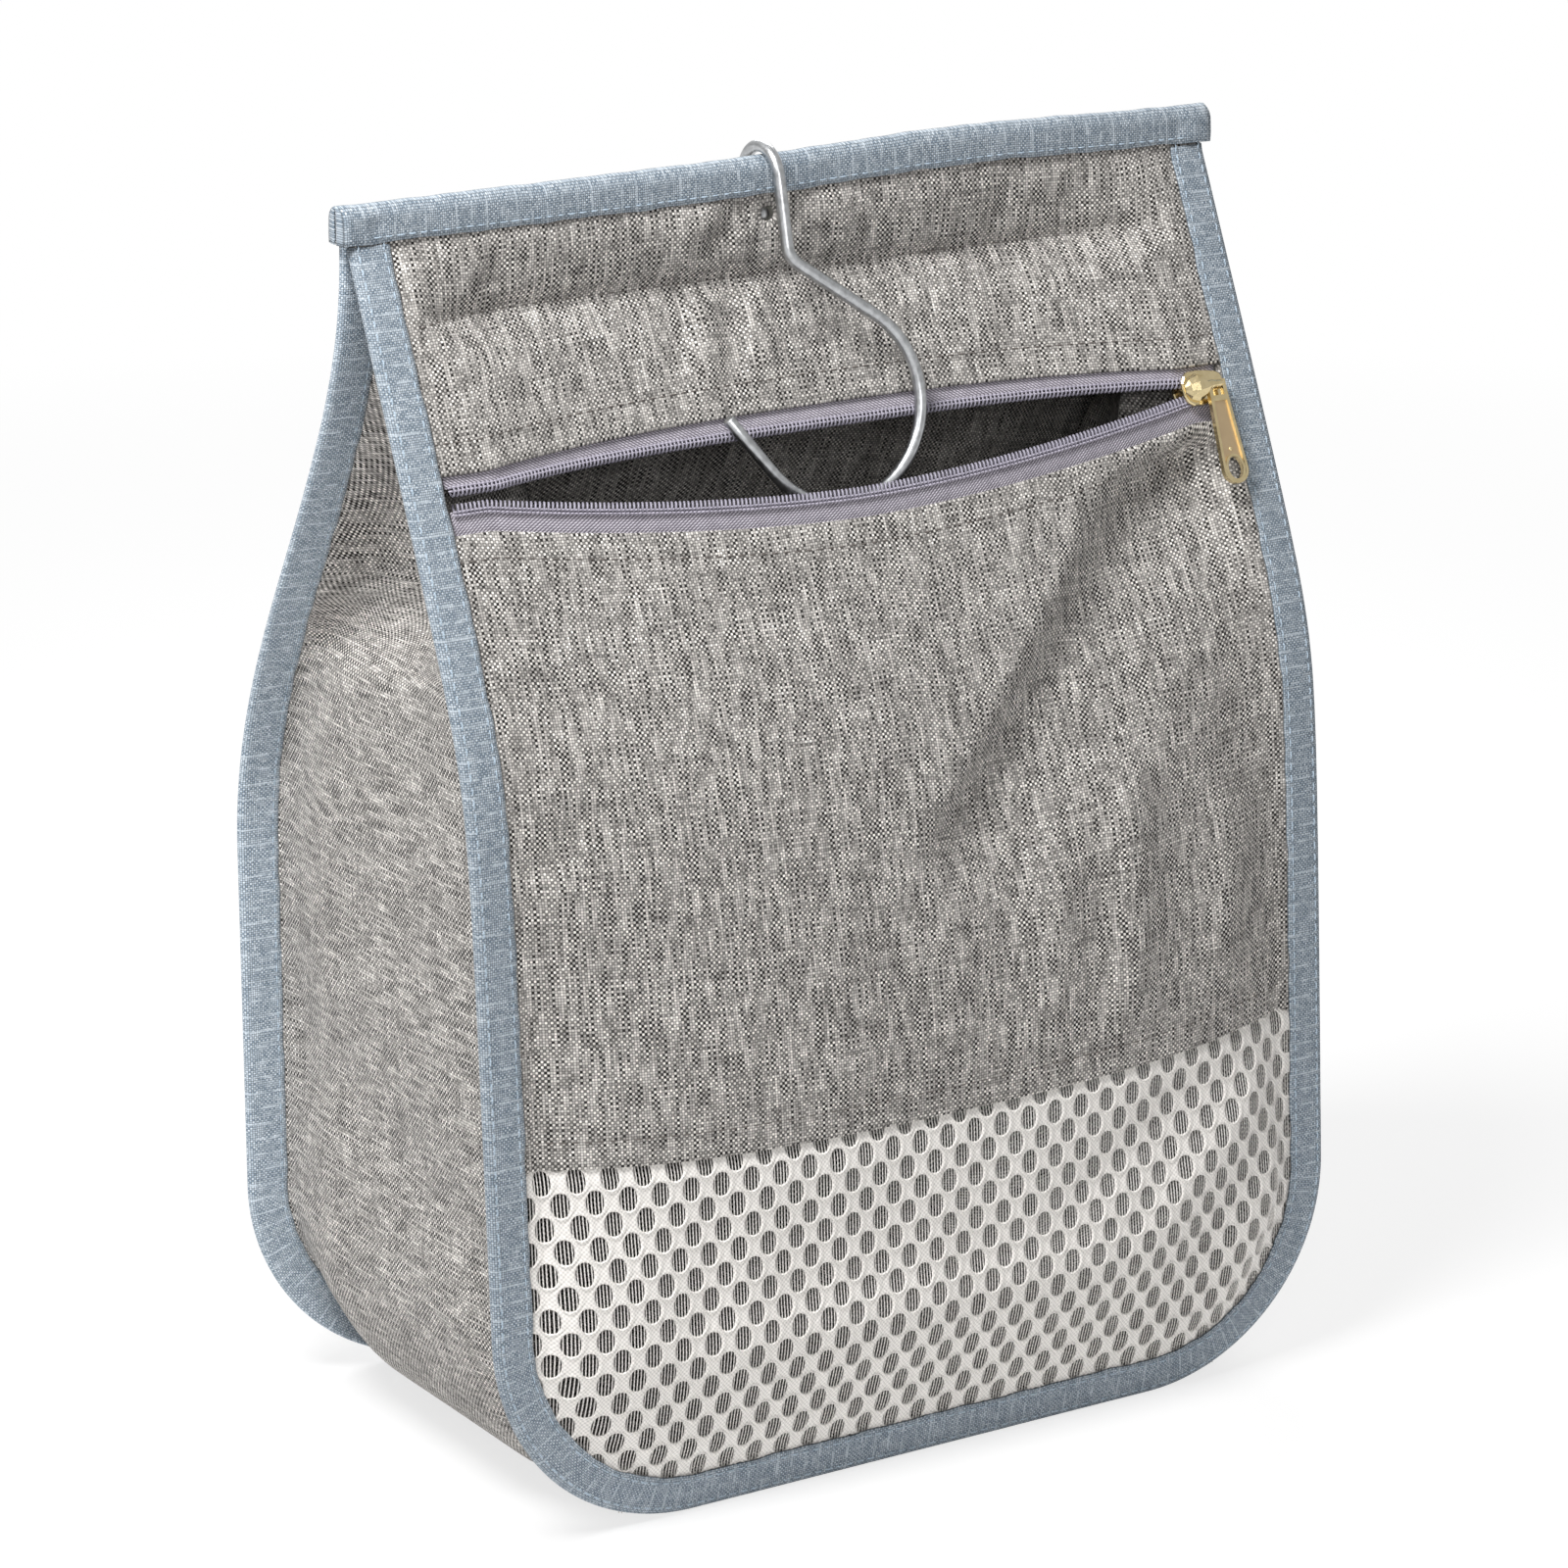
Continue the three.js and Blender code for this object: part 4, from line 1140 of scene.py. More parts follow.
class PEGBAG_OT_canvas_panels(Operator):
    """Sews the back panel, the yoke over the zip and the panel under it"""

    bl_idname = "pegbag.canvas_panels"
    bl_label = "Canvas panels"

    def execute(self, context):
        edge = HALF_WIDTH - EDGE_INSET
        top = underlap()

        columns = fine_columns(edge, 1.6)
        points, uvs = cloth_panel(yoke_cloth, columns, yoke_edge, level(top), 1.1, ("low",))
        yoke = canvas_piece("front_yoke", points, uvs, FRONT, holed=True)

        columns = np.linspace(-edge, edge, 150)
        points, uvs = cloth_panel(panel_cloth, columns, net_edge, panel_edge, 1.5, ("low", "high"))
        panel = canvas_piece("front_panel", points, uvs, FRONT)

        points, uvs = back_points(edge, top)
        back = canvas_piece("back_panel", points, uvs, BACK, holed=True)
        return {"FINISHED"}


def underlap():
    """Highest edge of the cloth inside the top binding's fold."""
    outer = TOP_HALF + TOP_BIND_PROUD
    inner = outer - SOLID_CLOTH
    face = TOP_HALF + SOLID_CLOTH / 2
    return BAG_HEIGHT - outer + math.sqrt(inner**2 - face**2) - LAYER_GAP


def back_points(edge, top):
    """The back panel's points: rows that narrow round the lower corners."""
    turns = np.linspace(0.0, math.pi / 2, 26)
    radius = CORNER_RADIUS - EDGE_INSET
    low = CORNER_RADIUS - radius * np.cos(turns)
    straight = np.linspace(CORNER_RADIUS, FINE_FROM - 1.0, 165)[1:]
    fine = np.arange(FINE_FROM, top, HOLE_STEP)
    heights = np.concatenate([low, straight, fine, [top]])
    columns = fine_columns(edge, 1.9) / edge
    half = outline_half(heights, EDGE_INSET)[:, None]
    wide = columns * half
    tall = np.broadcast_to(heights[:, None], wide.shape)
    points = np.stack([wide, back_cloth(wide, tall), tall], axis=-1)
    uvs = np.stack([wide, arc_lengths(points, 0)], axis=-1)
    return points, uvs


# Stations round the bag's outline


def outline_stations(step):
    """Points round the outline from the top left, down, along the base and up: x, z, inward x, inward z."""
    side = np.linspace(SEAM_TOP, CORNER_RADIUS, int(round((SEAM_TOP - CORNER_RADIUS) / step)) + 1)
    turns = np.linspace(0.0, math.pi / 2, int(round(CORNER_RADIUS * math.pi / 2 / step)) + 1)[1:]
    left = [(-HALF_WIDTH, z, 1.0, 0.0) for z in side]
    for a in turns:
        left.append(
            (
                -HALF_WIDTH + CORNER_RADIUS * (1 - math.cos(a)),
                CORNER_RADIUS * (1 - math.sin(a)),
                math.cos(a),
                math.sin(a),
            )
        )
    left = np.array(left)
    reach = HALF_WIDTH - CORNER_RADIUS
    base = np.linspace(-reach, reach, int(round(2 * reach / step)) + 1)[1:-1]
    bottom = np.stack([base, np.zeros_like(base), np.zeros_like(base), np.ones_like(base)], axis=1)
    right = left[::-1] * np.array([-1.0, 1.0, -1.0, 1.0])
    return np.concatenate([left, bottom, right])


def seam_points(stations, inset, seam, offset, side):
    x = stations[:, 0] + stations[:, 2] * inset
    z = stations[:, 1] + stations[:, 3] * inset
    share = np.clip(1 - inset / BIND_WIDTH, 0.0, 1.0)
    back = 0.0 if side > 0 else BACK_LEAN
    sideways = back * stations[:, 2] ** 2 * smooth((LEAN_TOP - z) / LEAN_RUN)
    under = BASE_LEAN * stations[:, 3] ** 2
    return np.stack([x, seam(z) + side * (offset + under * share) + sideways * share, z], axis=-1)


def gusset_points(stations):
    """Rows of the side strip: a seam flange, the wall and the other flange."""
    x, height, aside, base = stations.T
    wall_z = height + base * WALL_INSET
    front = front_seam(wall_z) + LEG_CLEAR
    back = np.maximum(back_seam(wall_z) - LEG_CLEAR, front + 0.2)
    depth = (back - front) / FULL_DEPTH
    corner = 2 * np.abs(aside) * base
    swell = GUSSET_SWELL * depth**2 * (1 - base) + WALL_INSET * base**2
    flange = (EDGE_INSET, FLANGE_MIDDLE, WALL_INSET - FLANGE_TURN)
    rows = [seam_points(stations, inset, front_seam, FLANGE_OFFSET, 1) for inset in flange]
    for q in np.linspace(0.0, 1.0, 46):
        bow = smooth(4 * min(q, 1 - q)) * swell + CORNER_BULGE * corner * smooth(9 * min(q, 1 - q))
        bow = bow + gusset_folds(q, height, back - front, x < 0) * (1 - base)
        moved = WALL_INSET - bow
        z = np.maximum(height + base * moved, FLOOR_CLEAR)
        rows.append(np.stack([x + aside * moved, front + (back - front) * q, z], axis=-1))
    rows += [seam_points(stations, inset, back_seam, FLANGE_OFFSET, -1) for inset in reversed(flange)]
    return np.stack(rows, axis=1)


def gusset_folds(q, z, width, left):
    """Outward moves of the side wall in millimetres at a share q from the front seam to the back."""
    narrow = np.minimum(1.0, width / 60)
    free = smooth((q - 0.08) / 0.1) * smooth((1 - q) / 0.08)
    y = FULL_DEPTH * q
    soft = 0.9 * ripple(y, z, 41, 75.0) + 0.3 * ripple(y, z, 42, 30.0)
    low = -1.8 * np.exp(-(((z - 60 - 40 * q) / 16) ** 2)) * smooth((z - 25) / 20)
    from_back = (1 - q) * width
    beside = smooth((z - 190) / 30) * smooth((248 - z) / 20)
    beside = 4.0 * (beside * smooth((18 - from_back) / 15) * smooth(from_back / 4))
    raised = z + 17 * (q - 0.42)
    valley = min(max(q - VALLEY_START, 0.0) / VALLEY_FALL, (1 - q) / VALLEY_CLIMB) ** 0.9
    inward = valley * smooth((raised - 196) / 22) * (1 - 0.76 * smooth((raised - 230) / 60))
    inward = np.where(left, VALLEY_LEFT, VALLEY_RIGHT) * inward
    return fold_depth() * (free * narrow * (soft + low) - beside - inward)


class PEGBAG_OT_gusset(Operator):
    """Sews the strip that makes both sides and the base"""

    bl_idname = "pegbag.gusset"
    bl_label = "Gusset"

    def execute(self, context):
        stations = outline_stations(2.6)
        points = gusset_points(stations[stations[:, 1] < GUSSET_TOP])
        across = arc_lengths(points, 1)
        along = np.broadcast_to(arc_lengths(points[:, 24:25], 0), points.shape[:2])
        gusset = canvas_piece("gusset", points, np.stack([along, across], axis=-1), DOWN)
        return {"FINISHED"}


# Bindings

BIND_PATH = [
    (10.0, -0.58), (9.2, -0.74), (7.5, -0.86), (5.0, -0.9), (2.6, -0.88), (1.2, -0.8), (0.45, -0.5),
    (0.12, 0.1), (0.0, 0.55), (0.14, 1.1), (0.5, 1.55), (1.2, 1.72), (3.0, 1.8), (6.0, 1.8), (9.0, 1.78),
    (10.0, 1.7),
]


def bind_wobble(run, seed, size):
    random = np.random.default_rng(seed)
    total = 0.0
    for wave in (9.0, 14.0, 23.0, 41.0):
        total = total + np.sin(run * math.tau / wave + random.uniform(0, math.tau))
    return size * total / 4


def tape_sheet(name, points, run, towards):
    """A binding tape, with its cloth map along a run and across the tape."""
    across = np.broadcast_to(arc_lengths(points[:1], 1), points.shape[:2])
    along = np.broadcast_to(run[:, None], points.shape[:2])
    return cloth_sheet(name, points, np.stack([along, across], axis=-1), towards, TAPE)


def seam_binding(name, seam, side, seed):
    stations = outline_stations(1.8)
    run = arc_lengths(np.stack([stations[:, 0], seam(stations[:, 1]), stations[:, 1]], axis=-1), 0)
    bend = 2 * np.minimum(np.abs(stations[:, 2]), np.abs(stations[:, 3]))
    pucker = smooth(bend / 0.6) * np.sin(run * math.tau / 4.2)
    rows = []
    for inset, offset in BIND_PATH:
        reach = inset / BIND_WIDTH
        edge = TAPE / 2 + inset * (1 - TAPE / 2 / BIND_WIDTH) + bind_wobble(run, seed, 0.35) * reach
        lift = offset + bind_wobble(run, seed + 1, 0.12) * math.copysign(1.0, offset) * min(1.0, 2 * reach)
        lift = lift + math.copysign(0.14, offset) * pucker * reach
        rows.append(seam_points(stations, edge, seam, lift, side))
    return tape_sheet(name, np.stack(rows, axis=1), run, DOWN)


def top_arch(x):
    """How far the top edge rises between the hook and its right end."""
    return TOP_ARCH * np.exp(-(((x - 48.0) / 46.0) ** 2))


def top_binding_points():
    outer = TOP_HALF + 0.9
    legs = [(outer, 0.2), (outer + 0.12, 1.4), (outer + 0.16, 3.0)]
    fold = BAG_HEIGHT - LAYER_GAP - outer
    path = [(-wide, TOP_BIND_BOTTOM + up) for wide, up in legs]
    for turn in np.linspace(0.0, math.pi, 15):
        path.append((-outer * math.cos(turn), fold + outer * math.sin(turn)))
    path += [(wide, TOP_BIND_BOTTOM + up) for wide, up in reversed(legs)]
    reach = HALF_WIDTH + 1.4
    ends = np.array([0.2, 0.45, 0.5])
    x = np.concatenate([-reach - ends[::-1], np.linspace(-reach, reach, 150), reach + ends])
    past = np.abs(x) - reach
    thick = 1 + 0.05 * bind_wobble(x, 63, 1.0)
    rows = []
    for y, z in path:
        share = (z - TOP_BIND_BOTTOM) / (BAG_HEIGHT - TOP_BIND_BOTTOM)
        lift = bind_wobble(x, 61, 0.3) * (1 - share) + bind_wobble(x, 62, 0.18) * share
        tuck = np.exp(-(((past + 8.5) / 2.2) ** 2 + ((z - 305.0) / 2.2) ** 2))
        flare = 1 + 0.12 * smooth((past + 9.0) / 3.0) - 0.22 * tuck
        press = flare * np.sqrt(np.clip(-past * 2 + 1, 0.02, 1))
        raised = z + np.clip(lift, -0.5, 0.3) + top_arch(x)
        rows.append(np.stack([x, y * thick * press, raised], axis=-1))
    return np.stack(rows, axis=1)


class PEGBAG_OT_bindings(Operator):
    """Folds the binding tapes round the front, back and top seams"""

    bl_idname = "pegbag.bindings"
    bl_label = "Bindings"

    def execute(self, context):
        tape = binding_material("pale blue binding tape", 1.0)
        # The back binding's tape is painted 1.3 times lighter: painted light on a binding that lies in the
        # gusset's shade.
        lit_back_tape = binding_material("pale blue binding tape, back", 1.3)
        for name, seam, side, seed, material in (
            ("front_binding", front_seam, 1, 51, tape),
            ("back_binding", back_seam, -1, 55, lit_back_tape),
        ):
            piece = seam_binding(name, seam, side, seed)
            dress(piece, material, "bag", "binding", name)
        points = top_binding_points()
        top = tape_sheet("top_binding", points, points[:, 0, 0], UP)
        dress(top, tape, "bag", "binding", "top_binding")
        return {"FINISHED"}


# Geometry Nodes


def new_tree(name, inputs):
    """A geometry tree with named float inputs. Returns the tree, its input and output nodes."""
    tree = bpy.data.node_groups.new(name, "GeometryNodeTree")
    tree.interface.new_socket("Geometry", in_out="INPUT", socket_type="NodeSocketGeometry")
    for label in inputs:
        tree.interface.new_socket(label, in_out="INPUT", socket_type="NodeSocketFloat")
    tree.interface.new_socket("Material", in_out="INPUT", socket_type="NodeSocketMaterial")
    tree.interface.new_socket("Geometry", in_out="OUTPUT", socket_type="NodeSocketGeometry")
    return tree, node(tree, "NodeGroupInput"), node(tree, "NodeGroupOutput")


def close_tree(tree, source, target, instances):
    """Every tree ends in Realize Instances and Set Material."""
    real = node(tree, "GeometryNodeRealizeInstances", {0: instances})
    inputs = {"Geometry": real.outputs[0], "Material": source.outputs["Material"]}
    paint = node(tree, "GeometryNodeSetMaterial", inputs)
    tree.links.new(paint.outputs[0], target.inputs[0])


def grow(piece, tree, material, values):
    """Runs a tree on a piece and leaves the plain mesh."""
    modifier = piece.modifiers.new(tree.name, "NODES")
    modifier.node_group = tree
    for item in tree.interface.items_tree:
        if item.in_out == "INPUT" and item.name in values:
            modifier[item.identifier] = values[item.name]
        if item.in_out == "INPUT" and item.name == "Material":
            modifier[item.identifier] = material
    made = baked(piece)
    made.data.polygons.foreach_set("use_smooth", [True] * len(made.data.polygons))
    return made


def path_piece(name, lines):
    """Edges along lines of (points, outward normals), with the normals kept on the points."""
    points, edges, normals = [], [], []
    for line, out in lines:
        first = len(points)
        points.extend(to_frame(line).tolist())
        normals.extend(np.asarray(out, float).reshape(-1, 3).tolist())
        edges.extend((i, i + 1) for i in range(first, len(points) - 1))
    mesh = bpy.data.meshes.new(name)
    mesh.from_pydata(points, edges, [])
    kept = mesh.attributes.new("outward", "FLOAT_VECTOR", "POINT")
    kept.data.foreach_set("vector", np.array(normals, np.float32).ravel())
    return link(name, mesh)


def follow_path(tree, source, pitch, axis):
    """Points along the path at a pitch, and a turn whose axis runs along it with Y or Z outwards."""
    curve = node(tree, "GeometryNodeMeshToCurve", {0: source.outputs["Geometry"]}).outputs[0]
    even = node(tree, "GeometryNodeResampleCurve", {"Curve": curve, "Length": pitch}, mode="LENGTH")
    tangent = node(tree, "GeometryNodeInputTangent").outputs[0]
    outward = node(tree, "GeometryNodeInputNamedAttribute", {"Name": "outward"}, data_type="FLOAT_VECTOR")
    first = node(tree, "FunctionNodeAlignRotationToVector", {"Vector": tangent}, axis=axis)
    inputs = {"Rotation": first.outputs[0], "Vector": outward.outputs[0]}
    out_axis = "Z" if axis == "X" else "Y"
    turn = node(tree, "FunctionNodeAlignRotationToVector", inputs, axis=out_axis, pivot_axis=axis)
    return even.outputs[0], turn.outputs[0]


def round_wire(tree, curve, diameter, sides, capped):
    """A round thread or wire along a curve."""
    radius = calc(tree, "MULTIPLY", diameter, 0.5)
    ring = node(tree, "GeometryNodeCurvePrimitiveCircle", {"Resolution": sides, "Radius": radius})
    inputs = {"Curve": curve, "Profile Curve": ring.outputs[0], "Fill Caps": capped}
    return node(tree, "GeometryNodeCurveToMesh", inputs).outputs[0]


def on_points(tree, **sockets):
    """Instances on points, from sockets for its points, instance, rotation and scale."""
    inputs = {name.capitalize(): socket for name, socket in sockets.items()}
    return node(tree, "GeometryNodeInstanceOnPoints", inputs).outputs[0]


def moved(tree, geometry, x, y, z):
    """Geometry with its points moved."""
    inputs = {"Geometry": geometry, "Offset": joined(tree, x, y, z)}
    return node(tree, "GeometryNodeSetPosition", inputs).outputs[0]


def stitch_tree():
    """Stitches: short arched threads along a path, each a little uneven."""
    name = "stitches"
    if name in bpy.data.node_groups:
        return bpy.data.node_groups[name]
    labels = ("Pitch", "Length", "Thread")
    tree, source, target = new_tree(name, labels)
    pitch, length_out, thread = (source.outputs[label] for label in labels)
    points, turn = follow_path(tree, source, pitch, "X")
    ends = {}
    for share, label in ((-0.5, "Start"), (0.5, "End")):
        ends[label] = joined(tree, calc(tree, "MULTIPLY", length_out, share), 0.0, 0.0)
    line = node(tree, "GeometryNodeCurvePrimitiveLine", ends).outputs[0]
    steps = node(tree, "GeometryNodeResampleCurve", {"Curve": line, "Count": 5}, mode="COUNT")
    share = node(tree, "GeometryNodeSplineParameter").outputs["Factor"]
    arch = calc(tree, "SINE", calc(tree, "MULTIPLY", share, math.pi))
    lift = calc(tree, "MULTIPLY", calc(tree, "MULTIPLY_ADD", arch, 1.2, -0.9), thread)
    stitch = round_wire(tree, moved(tree, steps.outputs[0], 0.0, 0.0, lift), thread, 6, True)
    inputs = {0: (0.88, 0.85, 0.8), 1: (1.06, 1.15, 1.2), "Seed": 7}
    uneven = node(tree, "FunctionNodeRandomValue", inputs, data_type="FLOAT_VECTOR").outputs[0]
    sewn = on_points(tree, points=points, instance=stitch, rotation=turn, scale=uneven)
    close_tree(tree, source, target, sewn)
    return tree


def coil_tree():
    """The zip's coil: one turn of nylon wire at each pitch."""
    labels = ("Width", "Depth", "Pitch", "Wire")
    tree, source, target = new_tree("zip coil", labels)
    width, depth, pitch, thickness = (source.outputs[label] for label in labels)
    points, turn = follow_path(tree, source, pitch, "Z")
    inputs = {"Resolution": 10, "Rotations": 1.0, "Start Radius": 0.5, "End Radius": 0.5, "Height": 1.0}
    spiral = node(tree, "GeometryNodeCurveSpiral", inputs).outputs[0]
    inputs = {"Geometry": spiral, "Scale": joined(tree, width, depth, pitch)}
    flat = node(tree, "GeometryNodeTransform", inputs).outputs[0]
    wire = round_wire(tree, flat, thickness, 5, False)
    close_tree(tree, source, target, on_points(tree, points=points, instance=wire, rotation=turn))
    return tree


def net_tree(cell):
    """The net: one knitted cell at each point of a staggered grid."""
    labels = ("Pitch", "Row", "Columns", "Rows")
    tree, source, target = new_tree("knitted net", labels)
    pitch, step, columns, rows = (source.outputs[label] for label in labels)
    last = calc(tree, "SUBTRACT", columns, 1.0)
    high = calc(tree, "SUBTRACT", rows, 1.0)
    inputs = {
        "Size X": calc(tree, "MULTIPLY", last, pitch),
        "Size Y": calc(tree, "MULTIPLY", high, step),
        "Vertices X": columns,
        "Vertices Y": rows,
    }
    grid = node(tree, "GeometryNodeMeshGrid", inputs).outputs[0]
    spot = node(tree, "GeometryNodeInputPosition").outputs[0]
    row = calc(tree, "DIVIDE", axes(tree, spot)[1], step)
    row = calc(tree, "ROUND", calc(tree, "ADD", row, calc(tree, "MULTIPLY", high, 0.5)))
    odd = calc(tree, "PINGPONG", row, 1.0)
    shift = calc(tree, "MULTIPLY", calc(tree, "MULTIPLY", odd, 0.5), pitch)
    stagger = moved(tree, grid, shift, 0.0, 0.0)
    template = node(tree, "GeometryNodeObjectInfo", {"Object": cell}).outputs["Geometry"]
    cells = on_points(tree, points=stagger, instance=template)
    real = node(tree, "GeometryNodeRealizeInstances", {0: cells}).outputs[0]
    merge = node(tree, "GeometryNodeMergeByDistance", {"Geometry": real, "Distance": 0.02 * MM})
    close_tree(tree, source, target, merge.outputs[0])
    return tree


# Net window


def squared(value):
    """Makes a sine or cosine draw an oval with fuller shoulders."""
    return math.copysign(abs(value) ** 0.8, value)


# Rings of a cell from its edge to its hole: share of the way out, and how proud
NET_RINGS = [(1.0, -0.12), (0.62, -0.06), (0.3, 0.16), (0.0, -0.12)]
NET_COLUMNS = 31
NET_ROWS = 20
NET_DROP = 4.0
NET_TUCK = 6.0


def net_cell(sizes):
    """One six-sided cell of the net in its own X and Y, with an oval hole crossed by threads."""
    pitch, row = sizes.net_pitch, sizes.net_row
    half_w, half_h = sizes.net_hole_width / 2, sizes.net_hole_height / 2
    limit = (pitch**2 / 4 + row**2) / 2
    peak = limit / row
    shoulder = (limit - pitch**2 / 4) / row
    corners = [
        (pitch / 2, -shoulder), (pitch / 2, shoulder), (0.0, peak),
        (-pitch / 2, shoulder), (-pitch / 2, -shoulder), (0.0, -peak),
    ]
    outer = []
    for k, corner in enumerate(corners):
        following = corners[(k + 1) % len(corners)]
        for share in (0.0, 1 / 3, 2 / 3):
            outer.append([a + (b - a) * share for a, b in zip(corner, following)])
    count = len(outer)
    points, faces = [], []
    for x, y in outer:
        angle = math.atan2(y / half_h, x / half_w)
        rim = (half_w * squared(math.cos(angle)), half_h * squared(math.sin(angle)))
        for share, proud in NET_RINGS:
            points.append((rim[0] + (x - rim[0]) * share, rim[1] + (y - rim[1]) * share, proud * MM))
    rings = len(NET_RINGS)
    for k in range(count):
        following = (k + 1) % count
        for ring in range(rings - 1):
            a, b = rings * k + ring, rings * following + ring
            faces.append((a, b, b + 1, a + 1))
    mesh = bpy.data.meshes.new("net_cell")
    mesh.from_pydata(points, [], faces)
    return link("net_cell", mesh)


def net_threads(cells, sizes):
    """Fine upright threads across each hole at the given centres, as narrow three-sided bars."""
    half_w, half_h = sizes.net_hole_width / 2 / MM, sizes.net_hole_height / 2 / MM
    radius = sizes.net_thread / 2 / MM
    points, faces = [], []
    for centre_x, centre_z in cells:
        for k in range(-2, 3):
            dx = k * half_w * 0.38
            reach = half_h * math.sqrt(max(0.0, 1 - (dx / half_w) ** 2)) + 0.5
            first = len(points)
            for share in (-1.0, -0.33, 0.33, 1.0):
                for side, lift in ((-radius, 0.1), (radius, 0.1), (0.0, -0.14)):
                    points.append((centre_x + dx + side, lift, centre_z + share * reach))
            for level_index in range(3):
                for side in range(3):
                    a = first + 3 * level_index + side
                    b = first + 3 * level_index + (side + 1) % 3
                    faces.append((a, b, b + 3, a + 3))
    return np.array(points), faces


class PEGBAG_OT_net_window(Operator):
    """Knits the net and sews it under the front panel"""

    bl_idname = "pegbag.net_window"
    bl_label = "Net window"

    def execute(self, context):
        sizes = bag_sizes()
        material = net_material()
        cell = net_cell(sizes)
        flat = link("mesh_window", bpy.data.meshes.new("mesh_window"))
        values = {
            "Pitch": sizes.net_pitch,
            "Row": sizes.net_row,
            "Columns": NET_COLUMNS,
            "Rows": NET_ROWS,
        }
        net = grow(flat, net_tree(cell), material, values)
        bpy.data.objects.remove(cell)
        middle_row = (NET_ROWS - 1) / 2
        middle_column = (NET_COLUMNS - 1) / 2
        lift = middle_row * sizes.net_row / MM - NET_DROP
        self.hang(net, lift)
        centres = []
        for j in range(NET_ROWS):
            z = (j - middle_row) * sizes.net_row / MM + lift
            for i in range(NET_COLUMNS):
                x = (i - middle_column + (0.5 if j % 2 else 0.0)) * sizes.net_pitch / MM
                if self.covered(np.array([x]), np.array([z]), 3.0)[0]:
                    centres.append((x, z))
        points, faces = net_threads(centres, sizes)
        points[:, 1] += net_cloth(points[:, 0], points[:, 2])
        threads = plain_mesh("mesh_threads", points, faces)
        dress(net, material, "bag", "net", "mesh_window")
        dress(threads, material, "bag", "net")
        return {"FINISHED"}

    def covered(self, x, z, inset):
        low = np.abs(x) < outline_half(np.maximum(z, 0.0), inset)
        return low & (z > inset) & (z < net_edge(x) + NET_TUCK)

    def hang(self, net, lift):
        """Moves the flat net onto the front surface and trims it under the binding and the panel."""
        mesh = net.data
        flat = np.zeros(len(mesh.vertices) * 3)
        mesh.vertices.foreach_get("co", flat)
        flat = flat.reshape(-1, 3) / MM
        x, z, proud = flat[:, 0], flat[:, 1] + lift, flat[:, 2]
        kept = self.covered(x, z, 1.5)
        placed = np.stack([x, net_cloth(x, z) - proud, z], axis=-1)
        mesh.vertices.foreach_set("co", to_frame(placed).astype(np.float32).ravel())

        def trim(made):
            gone = [v for v, stays in zip(made.verts, kept) if not stays]
            bmesh.ops.delete(made, geom=gone, context="VERTS")
            drop_loose(made)

        edit_mesh(net, trim)
        thicken(face_outwards(net, FRONT), NET_YARN)


# Zip

# Rows of stitches over a coil: how far up the tape, and how far out
COIL_ROWS = [(0.25, 0.95), (1.05, 0.85)]


def zip_tape(name, surface, coil, edge, up):
    x = np.linspace(-ZIP_HALF, ZIP_HALF, 150)
    rows = []
    for share in np.linspace(0.0, 1.0, 14):
        start = coil(x) + 0.5 * up
        stop = edge(x) + ZIP_TUCK * up
        z = start + (stop - start) * share
        depth = COIL_DEPTH + 0.25 + 0.7 * smooth((share - 0.2) / 0.5)
        rows.append(np.stack([x, surface(x, z) + depth, z], axis=-1))
    points = np.stack(rows, axis=0)
    uvs = np.stack([points[..., 0], arc_lengths(points, 0)], axis=-1)
    return cloth_sheet(name, points, uvs, FRONT, ZIP_TAPE)


def lip_line(surface, coil, shift, depth):
    """A line along a lip of the zip, moved up the cloth by shift and forward by depth."""
    x = np.linspace(-ZIP_HALF + 1.0, ZIP_HALF - 1.0, 160)
    z = coil(x) + shift
    y = surface(x, z) + COIL_DEPTH - depth
    points = np.stack([x, y, z], axis=-1)
    normal = -inward_normal(surface, x, z, 1)
    return points, normal


class PEGBAG_OT_zip(Operator):
    """Weaves the zip's tapes and winds its coils"""

    bl_idname = "pegbag.zip"
    bl_label = "Zip"

    def execute(self, context):
        sizes = bag_sizes()
        colours = bag_colours()
        twill = zip_tape_material()
        nylon = nylon_material()
        thread = thread_material("coil thread", colours.coil_thread)
        coils = coil_tree()
        lips = (
            ("upper", yoke_surface, yoke_cloth, upper_coil, yoke_edge, 1),
            ("lower", front_surface, panel_cloth, lower_coil, panel_edge, -1),
        )
        for name, surface, cloth, coil, edge, up in lips:
            tape = zip_tape("zip_tape_" + name, cloth, coil, edge, up)
            dress(tape, twill, "bag", "zip_tape", "zip_tape_" + name)
            path = path_piece("zip_coil_" + name, [lip_line(surface, coil, 0.0, 0.15)])
            values = {
                "Pitch": sizes.coil_pitch,
                "Wire": sizes.coil_wire,
                "Width": COIL_WIDTH * MM,
                "Depth": COIL_HEIGHT * MM,
            }
            piece = grow(path, coils, nylon, values)
            dress(piece, nylon, "bag", "zip_coil", "zip_coil_" + name)
            rows = [lip_line(surface, coil, shift * up, depth) for shift, depth in COIL_ROWS]
            path = path_piece("zip_stitches_" + name, rows)
            values = {"Pitch": sizes.coil_pitch, "Length": COIL_STITCH * MM, "Thread": COIL_THREAD * MM}
            piece = grow(path, stitch_tree(), thread, values)
            dress(piece, thread, "bag", "zip_coil")
        return {"FINISHED"}


# Slider and pull


